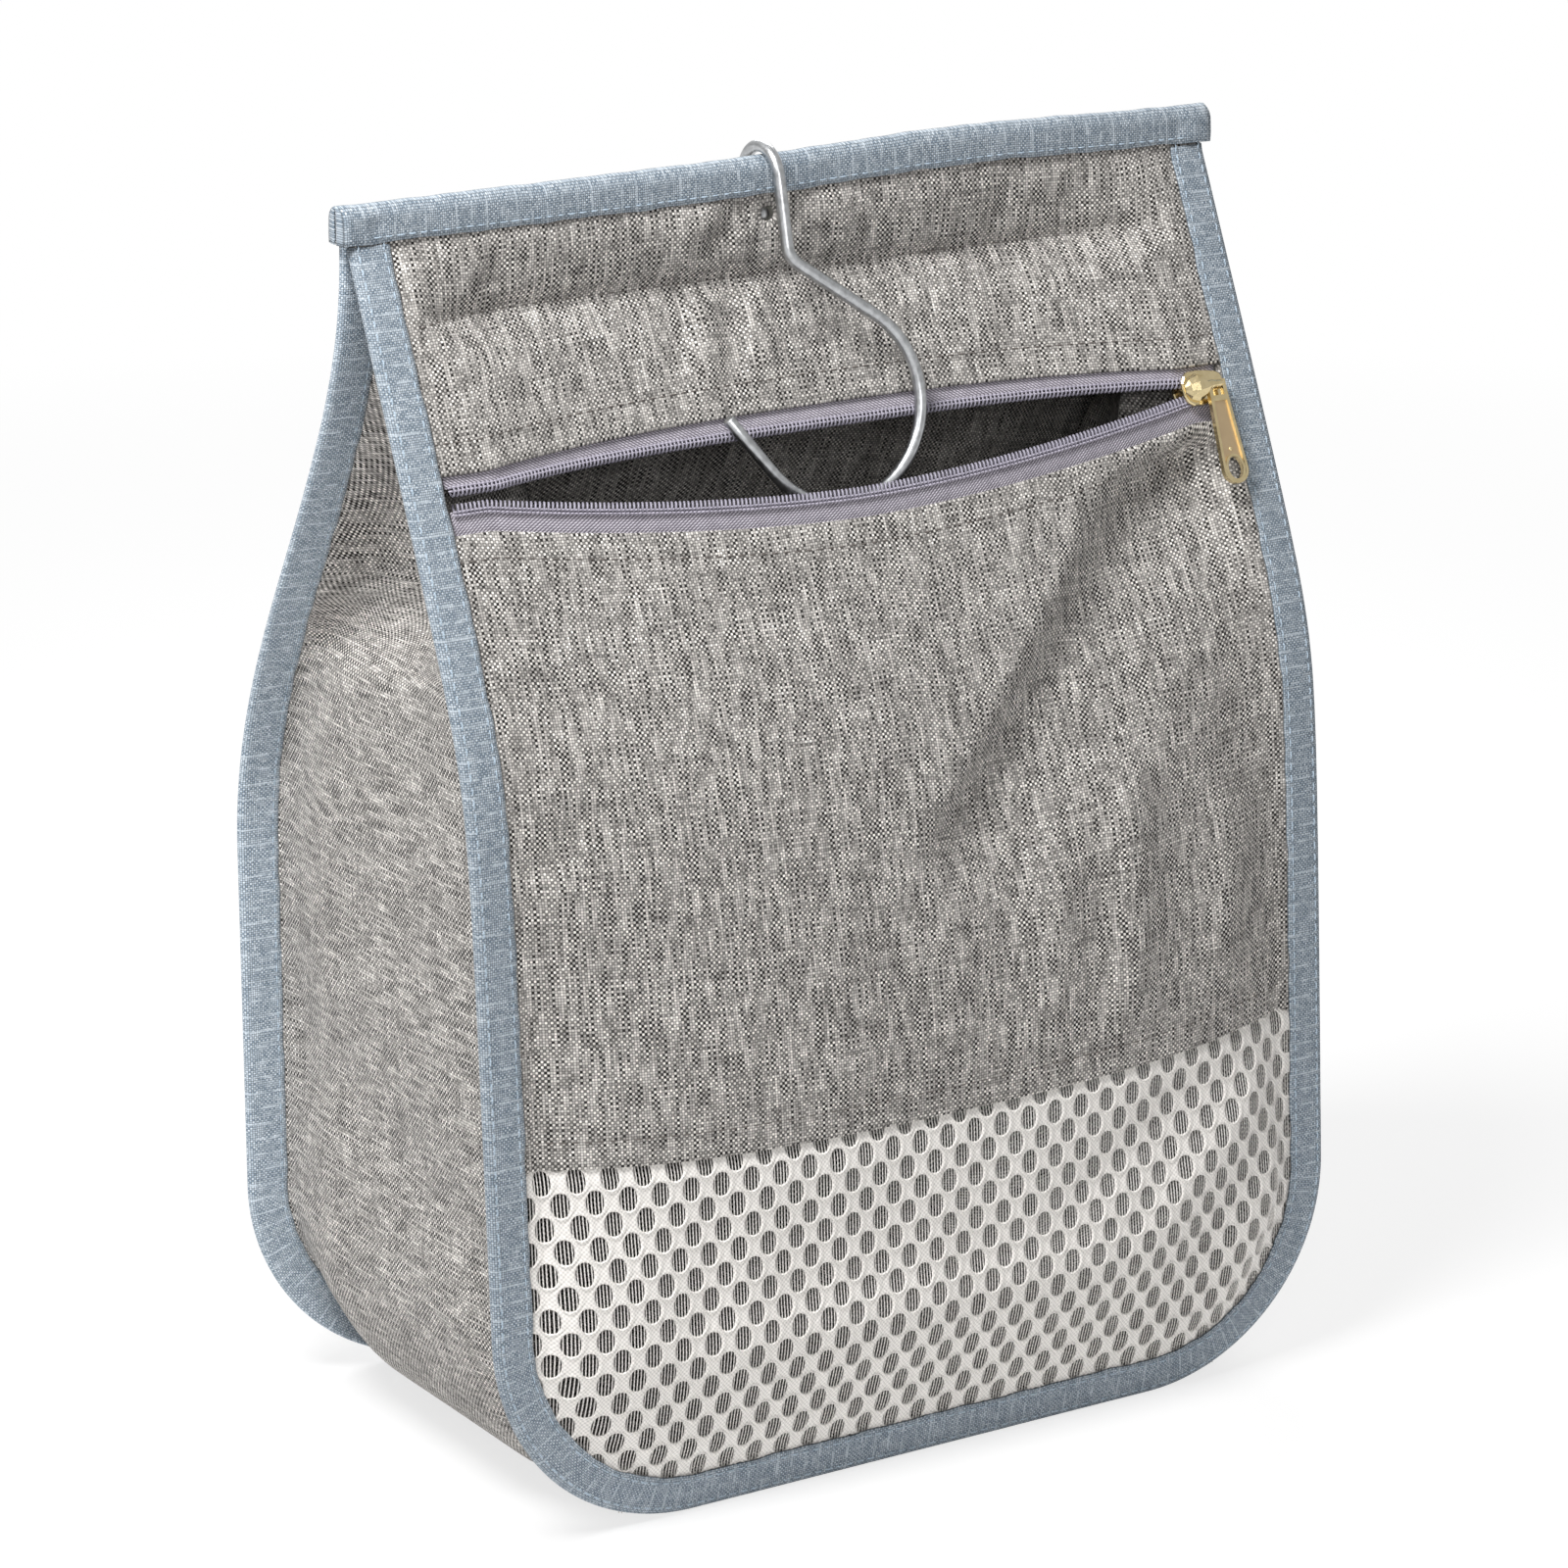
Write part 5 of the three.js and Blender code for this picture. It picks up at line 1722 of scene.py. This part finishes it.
def slider_frame():
    """Places the slider's own millimetres, X along the zip and -Y outwards, in the row frame."""
    y = float(front_seam(np.array(ZIP_HEIGHT))) + COIL_DEPTH
    turn = Matrix.Rotation(-ZIP_TILT, 4, "X")
    return Matrix.Translation((SLIDER_X, y, ZIP_HEIGHT)) @ turn


def local_solid(name, build, place):
    """A closed mesh that build makes in local millimetres, placed in the row frame."""
    made = bmesh.new()
    build(made)
    bmesh.ops.remove_doubles(made, verts=made.verts, dist=1e-4)
    bmesh.ops.recalc_face_normals(made, faces=made.faces)
    bmesh.ops.transform(made, matrix=place, verts=made.verts)
    for vertex in made.verts:
        vertex.co = Vector((vertex.co.x, vertex.co.y + SHIFT_Y, vertex.co.z)) * MM
    mesh = bpy.data.meshes.new(name)
    made.to_mesh(mesh)
    made.free()
    return link(name, mesh)


def loft_rings(made, rings):
    """Joins equal closed rings of points, with both ends capped."""
    layers = [[made.verts.new(point) for point in ring] for ring in rings]
    count = len(layers[0])
    for first, second in zip(layers, layers[1:]):
        for k in range(count):
            following = (k + 1) % count
            made.faces.new((first[k], first[following], second[following], second[k]))
    made.faces.new(layers[0][::-1])
    made.faces.new(layers[-1])


def shield(scale):
    """The slider plate's outline in X and Z: wide at the mouth end, narrow at the other."""
    half = [
        (-6.2, 0.0), (-6.0, 1.6), (-5.2, 3.3), (-3.6, 4.3), (-1.0, 4.4), (2.0, 4.1), (4.6, 3.6), (5.8, 2.9),
        (6.2, 1.8), (6.2, 0.0),
    ]
    whole = half + [(x, -z) for x, z in half[-2:0:-1]]
    return [(x * scale, z * scale) for x, z in whole]


def slider_plate(made, near, far):
    """One plate with eased edges, from y near the coil to y far from it."""
    step = 0.3 if far > near else -0.3
    rings = []
    for scale, y in ((0.97, near), (1.0, near + step), (1.0, far - step), (0.95, far)):
        rings.append([(x, y, z) for x, z in shield(scale)])
    loft_rings(made, rings)


CROWN = [
    (-5.7, 1.0, 0.5), (-4.6, 2.7, 1.7), (-2.6, 3.5, 2.7), (-0.9, 2.7, 3.1), (0.5, 1.5, 3.3),
    (1.6, 1.25, 3.35), (3.4, 1.2, 3.2), (4.6, 1.15, 2.6), (5.5, 1.0, 1.0),
]
CROWN_SIDE = [(1.0, 0.0), (1.0, 0.42), (0.78, 0.8), (0.3, 1.0)]
CROWN_SINK = 0.25


def slider_crown(made):
    """The faceted hump over the mouth end and the neck that the pull hangs on."""
    base = PLATE_FACE + CROWN_SINK
    rings = []
    for x, half, rise in CROWN:
        tall = rise + CROWN_SINK
        left = [(x, base - tall * up, -half * out) for out, up in CROWN_SIDE]
        right = [(x, base - tall * up, half * out) for out, up in reversed(CROWN_SIDE)]
        rings.append(left + right)
    loft_rings(made, rings)


def cut_by(piece, tool, operation="DIFFERENCE"):
    """Cuts a tool from a piece, or joins it on, and removes the tool."""
    step = piece.modifiers.new(operation.lower(), "BOOLEAN")
    step.operation = operation
    step.object = tool
    step.solver = "EXACT"
    baked(piece)
    bpy.data.objects.remove(tool)


def prism(outline, y0, y1):
    def build(made):
        loft_rings(made, [[(x, y0, z) for x, z in outline], [(x, y1, z) for x, z in outline]])

    return build


def oval(centre_x, centre_z, half_x, half_z, count):
    turns = [math.tau * k / count for k in range(count)]
    return [(centre_x + half_x * math.cos(a), centre_z + half_z * math.sin(a)) for a in turns]


def box_outline(x0, z0, x1, z1):
    return [(x0, z0), (x1, z0), (x1, z1), (x0, z1)]


def eased(piece, width):
    """Rounds a piece's sharp edges."""
    bevel = piece.modifiers.new("eased edges", "BEVEL")
    bevel.width = width * MM
    bevel.segments = 2
    bevel.limit_method = "ANGLE"
    bevel.angle_limit = math.radians(35.0)
    bevel.harden_normals = False
    baked(piece)


def pull_outline(inset):
    """The tab's outline round the pin, moved in by an inset."""
    right = [(PULL_TOP_HALF - inset, 1.0 - inset), (PULL_TOP_HALF - inset, PULL_SHOULDER)]
    radius = PULL_END_RADIUS - inset
    turns = [-math.pi * k / 16 for k in range(17)]
    arc = [(radius * math.cos(a), PULL_END + radius * math.sin(a)) for a in turns]
    left = [(-x, z) for x, z in reversed(right)]
    return right + arc + left


class PEGBAG_OT_slider(Operator):
    """Casts the slider and its pull"""

    bl_idname = "pegbag.slider"
    bl_label = "Slider and pull"

    def execute(self, context):
        brass = brass_material()
        place = slider_frame()
        inner = SLIDER_CHANNEL / 2
        slider = local_solid("zip_slider", lambda made: slider_plate(made, -inner, PLATE_FACE), place)
        parts = [
            lambda made: slider_plate(made, inner, -PLATE_FACE),
            prism([(-6.3, 0.0), (-4.6, 1.1), (-1.8, 0.0), (-4.6, -1.1)], -inner - 0.4, inner + 0.4),
            slider_crown,
        ]
        for sign in (-1, 1):
            outline = [(-3.6, sign * 4.3), (4.6, sign * 3.6), (4.6, sign * 2.9), (-3.6, sign * 3.5)]
            parts.append(prism(outline, -inner - 0.3, -0.7))
            parts.append(prism(outline, 0.7, inner + 0.3))
        for number, build in enumerate(parts):
            cut_by(slider, local_solid(f"slider_part_{number}", build, place), "UNION")
        tunnel = prism(box_outline(0.75, -6.0, 3.85, 6.0), PIN_Y - 0.65, PIN_Y + 1.35)
        cut_by(slider, local_solid("slider_tunnel", tunnel, place))
        eased(slider, 0.12)
        dress(slider, brass, "slider", "brass", "zip_slider")

        hang = place @ Matrix.Translation((LUG_X, PIN_Y, 0.0))
        pull = local_solid("zip_pull", prism(pull_outline(0.0), PULL_FRONT, PULL_BACK), hang)
        field = [(x, min(z, FIELD_TOP)) for x, z in pull_outline(PULL_RIM)]
        for name, build, operation in (
            ("pull_field", prism(field, -1.4, FIELD_FACE), "DIFFERENCE"),
            ("pull_rim", prism(oval(0.0, PULL_HOLE, 2.8, 3.5, 40), -0.7, 0.3), "UNION"),
            ("pull_hole", prism(oval(0.0, PULL_HOLE, 2.15, 2.8, 40), -2.0, 2.0), "DIFFERENCE"),
            ("pull_slot", prism(box_outline(-1.6, -2.9, 1.6, -0.6), -2.0, 2.0), "DIFFERENCE"),
            ("pull_stud", stud, "UNION"),
        ):
            cut_by(pull, local_solid(name, build, hang), operation)
        eased(pull, 0.16)
        mark_field(pull, hang)
        dress(pull, brass, "pull", "brass", "zip_pull")
        return {"FINISHED"}


def mark_field(pull, place):
    """Marks the sunk face of the pull for its material."""
    back = place.inverted()
    values = []
    for face in pull.data.polygons:
        middle = Vector(face.center) / MM - Vector((0.0, SHIFT_Y, 0.0))
        local = back @ middle
        values.append(1.0 if abs(local.y - FIELD_FACE) < 0.06 and local.z < -4.0 else 0.0)
    pull.data.attributes.new("field", "FLOAT", "FACE").data.foreach_set("value", values)


def stud(made):
    """A small raised stud above the pull's hole."""
    rings = []
    for scale, y in ((1.0, -0.15), (1.0, -0.4), (0.6, -0.58)):
        radius = STUD_RADIUS * scale
        rings.append([(x, y, z) for x, z in oval(0.0, STUD_PLACE, radius, radius, 14)])
    loft_rings(made, rings)


# Hook


def hook_route():
    """The middle line of the hook's wire, finely stepped."""
    points = []

    def arc(start, stop, step, place):
        steps = max(2, int(round(abs(stop - start) / step)))
        for k in range(steps + 1):
            points.append(place(start + (stop - start) * k / steps))

    fine = math.radians(4)
    eye_stop = math.pi - HOOK_LEAN
    arc(
        math.radians(EYE_END), eye_stop, fine,
        lambda a: (NECK_X, EYE_RADIUS * math.cos(a), EYE_HEIGHT + EYE_RADIUS * math.sin(a)),
    )
    start = points[-1]

    def in_plane(x, drop):
        return (x, start[1] - drop * math.sin(HOOK_LEAN), start[2] - drop * math.cos(HOOK_LEAN))

    centre_x = NECK_X + CROOK_OFFSET
    fall = CROOK_DROP - NECK_LENGTH
    reach = math.hypot(CROOK_OFFSET, fall)
    leg = math.atan2(fall, CROOK_OFFSET) - math.asin(CROOK_RADIUS / reach)
    turn = math.pi / 2 - leg
    bend_x = NECK_X + NECK_BEND
    bend_drop = NECK_LENGTH - NECK_BEND * math.tan(turn / 2)
    arc(
        math.pi, math.pi - turn, fine,
        lambda a: in_plane(bend_x + NECK_BEND * math.cos(a), bend_drop + NECK_BEND * math.sin(a)),
    )
    end = math.radians(CROOK_END)
    arc(
        leg - math.pi / 2, end, fine,
        lambda a: in_plane(centre_x + CROOK_RADIUS * math.cos(a), CROOK_DROP + CROOK_RADIUS * math.sin(a)),
    )
    end_x = centre_x + CROOK_RADIUS * math.cos(end)
    end_drop = CROOK_DROP + CROOK_RADIUS * math.sin(end)
    for share in (0.5, 1.0):
        go = TIP_LENGTH * share
        points.append(in_plane(end_x - go * math.sin(end), end_drop + go * math.cos(end)))
    return np.array(points)


def wire_rings(route, radius, sides):
    """Rings round a route, turned as little as possible, with eased cut ends."""
    route = np.asarray(route, float)
    direction = np.gradient(route, axis=0)
    direction /= np.linalg.norm(direction, axis=1, keepdims=True)
    side = np.array([1.0, 0.0, 0.0])
    rings, runs = [], []
    run = 0.0
    last = len(route) - 1
    for k, (point, along) in enumerate(zip(route, direction)):
        side = side - along * side.dot(along)
        side /= np.linalg.norm(side)
        other = np.cross(along, side)
        if k:
            run += np.linalg.norm(point - route[k - 1])
        turns = np.linspace(0.0, math.tau, sides, endpoint=False)
        circle = np.outer(np.cos(turns), side) + np.outer(np.sin(turns), other)
        steps = [(0.0, 1.0)]
        if k == 0:
            steps = [(0.0, WIRE_END), (WIRE_EASE, 1.0)]
        elif k == last:
            steps = [(-WIRE_EASE, 1.0), (0.0, WIRE_END)]
        for ahead, scale in steps:
            rings.append(point + along * ahead + circle * radius * scale)
            runs.append(run + ahead)
    return np.array(rings), np.array(runs)


class PEGBAG_OT_hook(Operator):
    """Bends the wire hook round the top edge"""

    bl_idname = "pegbag.hook"
    bl_label = "Wire hook"

    def execute(self, context):
        route = hook_route()
        gaps = np.linalg.norm(np.diff(route, axis=0), axis=1)
        route = route[np.concatenate([[True], gaps > 0.05])]
        rings, runs = wire_rings(route, WIRE_RADIUS, WIRE_SIDES)
        count = len(rings)
        stride = WIRE_SIDES + 1
        seam = np.concatenate([rings, rings[:, :1]], axis=1)
        around = np.linspace(0.0, math.tau * WIRE_RADIUS, stride)
        uvs = np.stack(np.broadcast_arrays(runs[:, None], around[None, :]), axis=-1)
        faces = grid_faces(count, stride).tolist()
        faces.append(list(range(WIRE_SIDES))[::-1])
        faces.append([(count - 1) * stride + k for k in range(WIRE_SIDES)])
        hook = plain_mesh("wire_hook", seam, faces, uvs)

        def close_seam(made):
            bmesh.ops.remove_doubles(made, verts=made.verts, dist=1e-6)
            bmesh.ops.recalc_face_normals(made, faces=made.faces)

        edit_mesh(hook, close_seam)
        dress(hook, wire_material(), "hook", "wire", "wire_hook")
        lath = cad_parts["hanger_lath"]
        lath.data.materials.clear()
        lath.data.materials.append(lath_material())
        return {"FINISHED"}


# Stitching


# Stitch lines round a binding: inset from the fold, offset from the seam and the way they face
BINDING_STITCHES = [(8.6, -1.12, -1.0), (1.9, -1.16, -1.0), (8.6, 2.06, 1.0)]
LINE_STEP = 1.0
STITCH_LIFT = 0.28
YOKE_STITCH = 6.6
PANEL_STITCH = 5.6
NET_STITCH = 6.4


def cloth_line(surface, height, edge, side):
    """A stitch line across a panel at a height that may vary with x."""
    x = np.linspace(-edge, edge, int(round(2 * edge / LINE_STEP)) + 1)
    z = height(x)
    out = -inward_normal(surface, x, z, side)
    points = np.stack([x, surface(x, z), z], axis=-1) + out * STITCH_LIFT
    return points, out


def binding_line(seam, side, inset, offset, outward):
    """A stitch line round a binding, at an inset from the fold."""
    stations = outline_stations(2.0)
    points = seam_points(stations, inset, seam, offset, side)
    normal = np.zeros_like(points)
    normal[:, 1] = outward
    return points, normal


def top_line(height, face):
    x = np.linspace(-HALF_WIDTH + 1.0, HALF_WIDTH - 1.0, 200)
    points = np.stack([x, np.full_like(x, face), height + top_arch(x)], axis=-1)
    normal = np.zeros_like(points)
    normal[:, 1] = math.copysign(1.0, face)
    return points, normal


def hole_ring(surface, side):
    """A worked ring round the hole that the hook's eye goes through."""
    turns = np.linspace(0.0, math.tau, 40)
    radius = HOLE_RADIUS + 0.45
    x = NECK_X + radius * np.cos(turns)
    z = HOLE_HEIGHT + radius * np.sin(turns)
    out = -inward_normal(surface, x, z, side)
    points = np.stack([x, surface(x, z), z], axis=-1) + out * 0.3
    return points, out


class PEGBAG_OT_stitching(Operator):
    """Stitches the canvas and the bindings"""

    bl_idname = "pegbag.stitching"
    bl_label = "Stitching"

    def execute(self, context):
        sizes = bag_sizes()
        colours = bag_colours()
        values = {"Pitch": sizes.stitch_pitch, "Length": sizes.stitch_length, "Thread": sizes.thread}
        edge = HALF_WIDTH - BIND_WIDTH - 0.5
        canvas_rows = [
            cloth_line(yoke_cloth, level(STITCH_HEIGHT), edge - 4.0, 1),
            cloth_line(yoke_cloth, lambda x: yoke_edge(x) + YOKE_STITCH, edge, 1),
            cloth_line(panel_cloth, lambda x: panel_edge(x) - PANEL_STITCH, edge, 1),
            cloth_line(panel_cloth, lambda x: net_edge(x) + NET_STITCH, edge, 1),
            cloth_line(back_cloth, level(STITCH_HEIGHT), edge - 4.0, -1),
            hole_ring(back_cloth, -1),
        ]
        thread = thread_material("grey sewing thread", colours.canvas_thread)
        piece = grow(path_piece("stitches_canvas", canvas_rows), stitch_tree(), thread, values)
        dress(piece, thread, "bag", "canvas")

        face = TOP_HALF + 1.3
        tape_rows = []
        for seam, side in ((front_seam, 1), (back_seam, -1)):
            for inset, offset, outward in BINDING_STITCHES:
                tape_rows.append(binding_line(seam, side, inset, offset, outward * side))
        for way in (-1, 1):
            tape_rows.append(top_line(TOP_BIND_BOTTOM + 1.5, way * face))
        thread = thread_material("pale blue sewing thread", colours.binding_thread)
        piece = grow(path_piece("stitches_binding", tape_rows), stitch_tree(), thread, values)
        dress(piece, thread, "bag", "binding")
        return {"FINISHED"}


# Stage


def camera_view():
    """The photographed view: camera place and turn."""
    azimuth, elevation, roll = (math.radians(turn) for turn in CAMERA_TURNS)
    target = Vector((0.0, SHIFT_Y * MM, CAMERA_TARGET))
    flat = math.cos(elevation)
    back = Vector((math.sin(azimuth) * flat, -math.cos(azimuth) * flat, math.sin(elevation)))
    turn = (-back).to_track_quat("-Z", "Y").to_matrix().to_4x4()
    turn = turn @ Matrix.Rotation(roll, 4, "Z")
    return Matrix.Translation(target + back * CAMERA_DISTANCE) @ turn


def area_light(name, azimuth, elevation, size, power):
    """A soft disk one metre from the bag. Azimuth 0 is straight in front, and negative is to the left."""
    turn, rise = math.radians(azimuth), math.radians(elevation)
    target = Vector((0.0, 0.0, LIGHT_TARGET))
    flat = math.cos(rise)
    place = target + Vector((math.sin(turn) * flat, -math.cos(turn) * flat, math.sin(rise)))
    data = bpy.data.lights.new(name, "AREA")
    data.shape = "DISK"
    data.size = size
    data.energy = power
    lamp = bpy.data.objects.new(name, data)
    bpy.context.scene.collection.objects.link(lamp)
    lamp.location = place
    lamp.rotation_euler = (target - place).to_track_quat("-Z", "Y").to_euler()


def seen_ray(tree, gloss):
    """1 for rays from the camera and through glass, and a share for rays from gloss."""
    path = node(tree, "ShaderNodeLightPath")
    mirrored = calc(tree, "MULTIPLY", path.outputs["Is Glossy Ray"], gloss)
    seen = calc(tree, "MAXIMUM", path.outputs["Is Camera Ray"], mirrored)
    return calc(tree, "MAXIMUM", seen, path.outputs["Is Transmission Ray"])


class PEGBAG_OT_stage(Operator):
    """Sets up the floor, the soft light and the camera"""

    bl_idname = "pegbag.stage"
    bl_label = "Stage"

    def execute(self, context):
        context.scene.view_settings.view_transform = "Standard"
        self.lay_floor(context.scene.peg_bag_colours)
        self.light_world(context.scene)
        for light in LIGHTS:
            area_light(*light)
        self.place_camera(context.scene)
        return {"FINISHED"}

    def lay_floor(self, colours):
        """A pale floor that shows as white away from the bag."""
        mesh = bpy.data.meshes.new("floor")
        corners = [(-1, -1), (1, -1), (1, 1), (-1, 1)]
        points = [(x * FLOOR_HALF, y * FLOOR_HALF, 0) for x, y in corners]
        mesh.from_pydata(points, [], [(0, 1, 2, 3)])
        floor = link("floor", mesh)
        material = bpy.data.materials.new("pale floor")
        material.use_nodes = True
        tree = material.node_tree
        tree.nodes.clear()
        plain = node(tree, "ShaderNodeBsdfDiffuse", {"Color": rgba(colours.floor)})
        white = node(tree, "ShaderNodeEmission", {"Color": rgba(WHITE)})
        away = node(tree, "ShaderNodeVectorMath", {0: object_place(tree)}, operation="LENGTH")
        share = fit_range(tree, away.outputs["Value"], 0.3, 1.2, 0.75, 1.0)
        shown = calc(tree, "MULTIPLY", seen_ray(tree, 1.0), share)
        mix = node(tree, "ShaderNodeMixShader", {0: shown, 1: plain.outputs[0], 2: white.outputs[0]})
        node(tree, "ShaderNodeOutputMaterial", {"Surface": mix.outputs[0]})
        mesh.materials.append(material)

    def light_world(self, scene):
        """White to look at, and a faint glow on the bag."""
        world = bpy.data.worlds.new("studio")
        scene.world = world
        world.use_nodes = True
        tree = world.node_tree
        ground = tree.nodes["Background"]
        ground.inputs["Color"].default_value = rgba(WHITE)
        inputs = {0: seen_ray(tree, 0.5), 2: STUDIO_GLOW, 3: 1.0}
        strength = node(tree, "ShaderNodeMix", inputs, data_type="FLOAT")
        tree.links.new(strength.outputs[0], ground.inputs["Strength"])

    def place_camera(self, scene):
        data = bpy.data.cameras.new("camera")
        data.lens = LENS
        data.sensor_width = SENSOR
        data.shift_x, data.shift_y = (shift / PICTURE_SIZE for shift in CAMERA_SHIFT)
        data.clip_end = 50.0
        camera = bpy.data.objects.new("camera", data)
        scene.collection.objects.link(camera)
        camera.matrix_world = camera_view()
        scene.camera = camera


PIECES = (
    "canvas_panels",
    "gusset",
    "net_window",
    "bindings",
    "zip",
    "slider",
    "hook",
    "stitching",
    "stage",
)


class PEGBAG_PT_pieces(Panel):
    """Lists the bag's pieces, sizes and colours"""

    bl_idname = "PEGBAG_PT_pieces"
    bl_label = "Peg Bag"
    bl_space_type = "VIEW_3D"
    bl_region_type = "UI"
    bl_category = "Peg Bag"

    def draw(self, context):
        layout = self.layout
        for piece in PIECES:
            layout.operator("pegbag." + piece)
        for group in (context.scene.peg_bag_sizes, context.scene.peg_bag_colours):
            column = layout.column(align=True)
            for name in group.__annotations__:
                column.prop(group, name)


CLASSES = (
    PegBagSizes,
    PegBagColours,
    PEGBAG_OT_canvas_panels,
    PEGBAG_OT_gusset,
    PEGBAG_OT_net_window,
    PEGBAG_OT_bindings,
    PEGBAG_OT_zip,
    PEGBAG_OT_slider,
    PEGBAG_OT_hook,
    PEGBAG_OT_stitching,
    PEGBAG_OT_stage,
    PEGBAG_PT_pieces,
)


def register():
    for kind in CLASSES:
        bpy.utils.register_class(kind)
    bpy.types.Scene.peg_bag_sizes = PointerProperty(type=PegBagSizes)
    bpy.types.Scene.peg_bag_colours = PointerProperty(type=PegBagColours)


def unregister():
    del bpy.types.Scene.peg_bag_colours
    del bpy.types.Scene.peg_bag_sizes
    for kind in reversed(CLASSES):
        bpy.utils.unregister_class(kind)


def main():
    register()
    for piece in PIECES:
        getattr(bpy.ops.pegbag, piece)()
    bpy.context.view_layer.update()


if __name__ == "__main__":
    main()
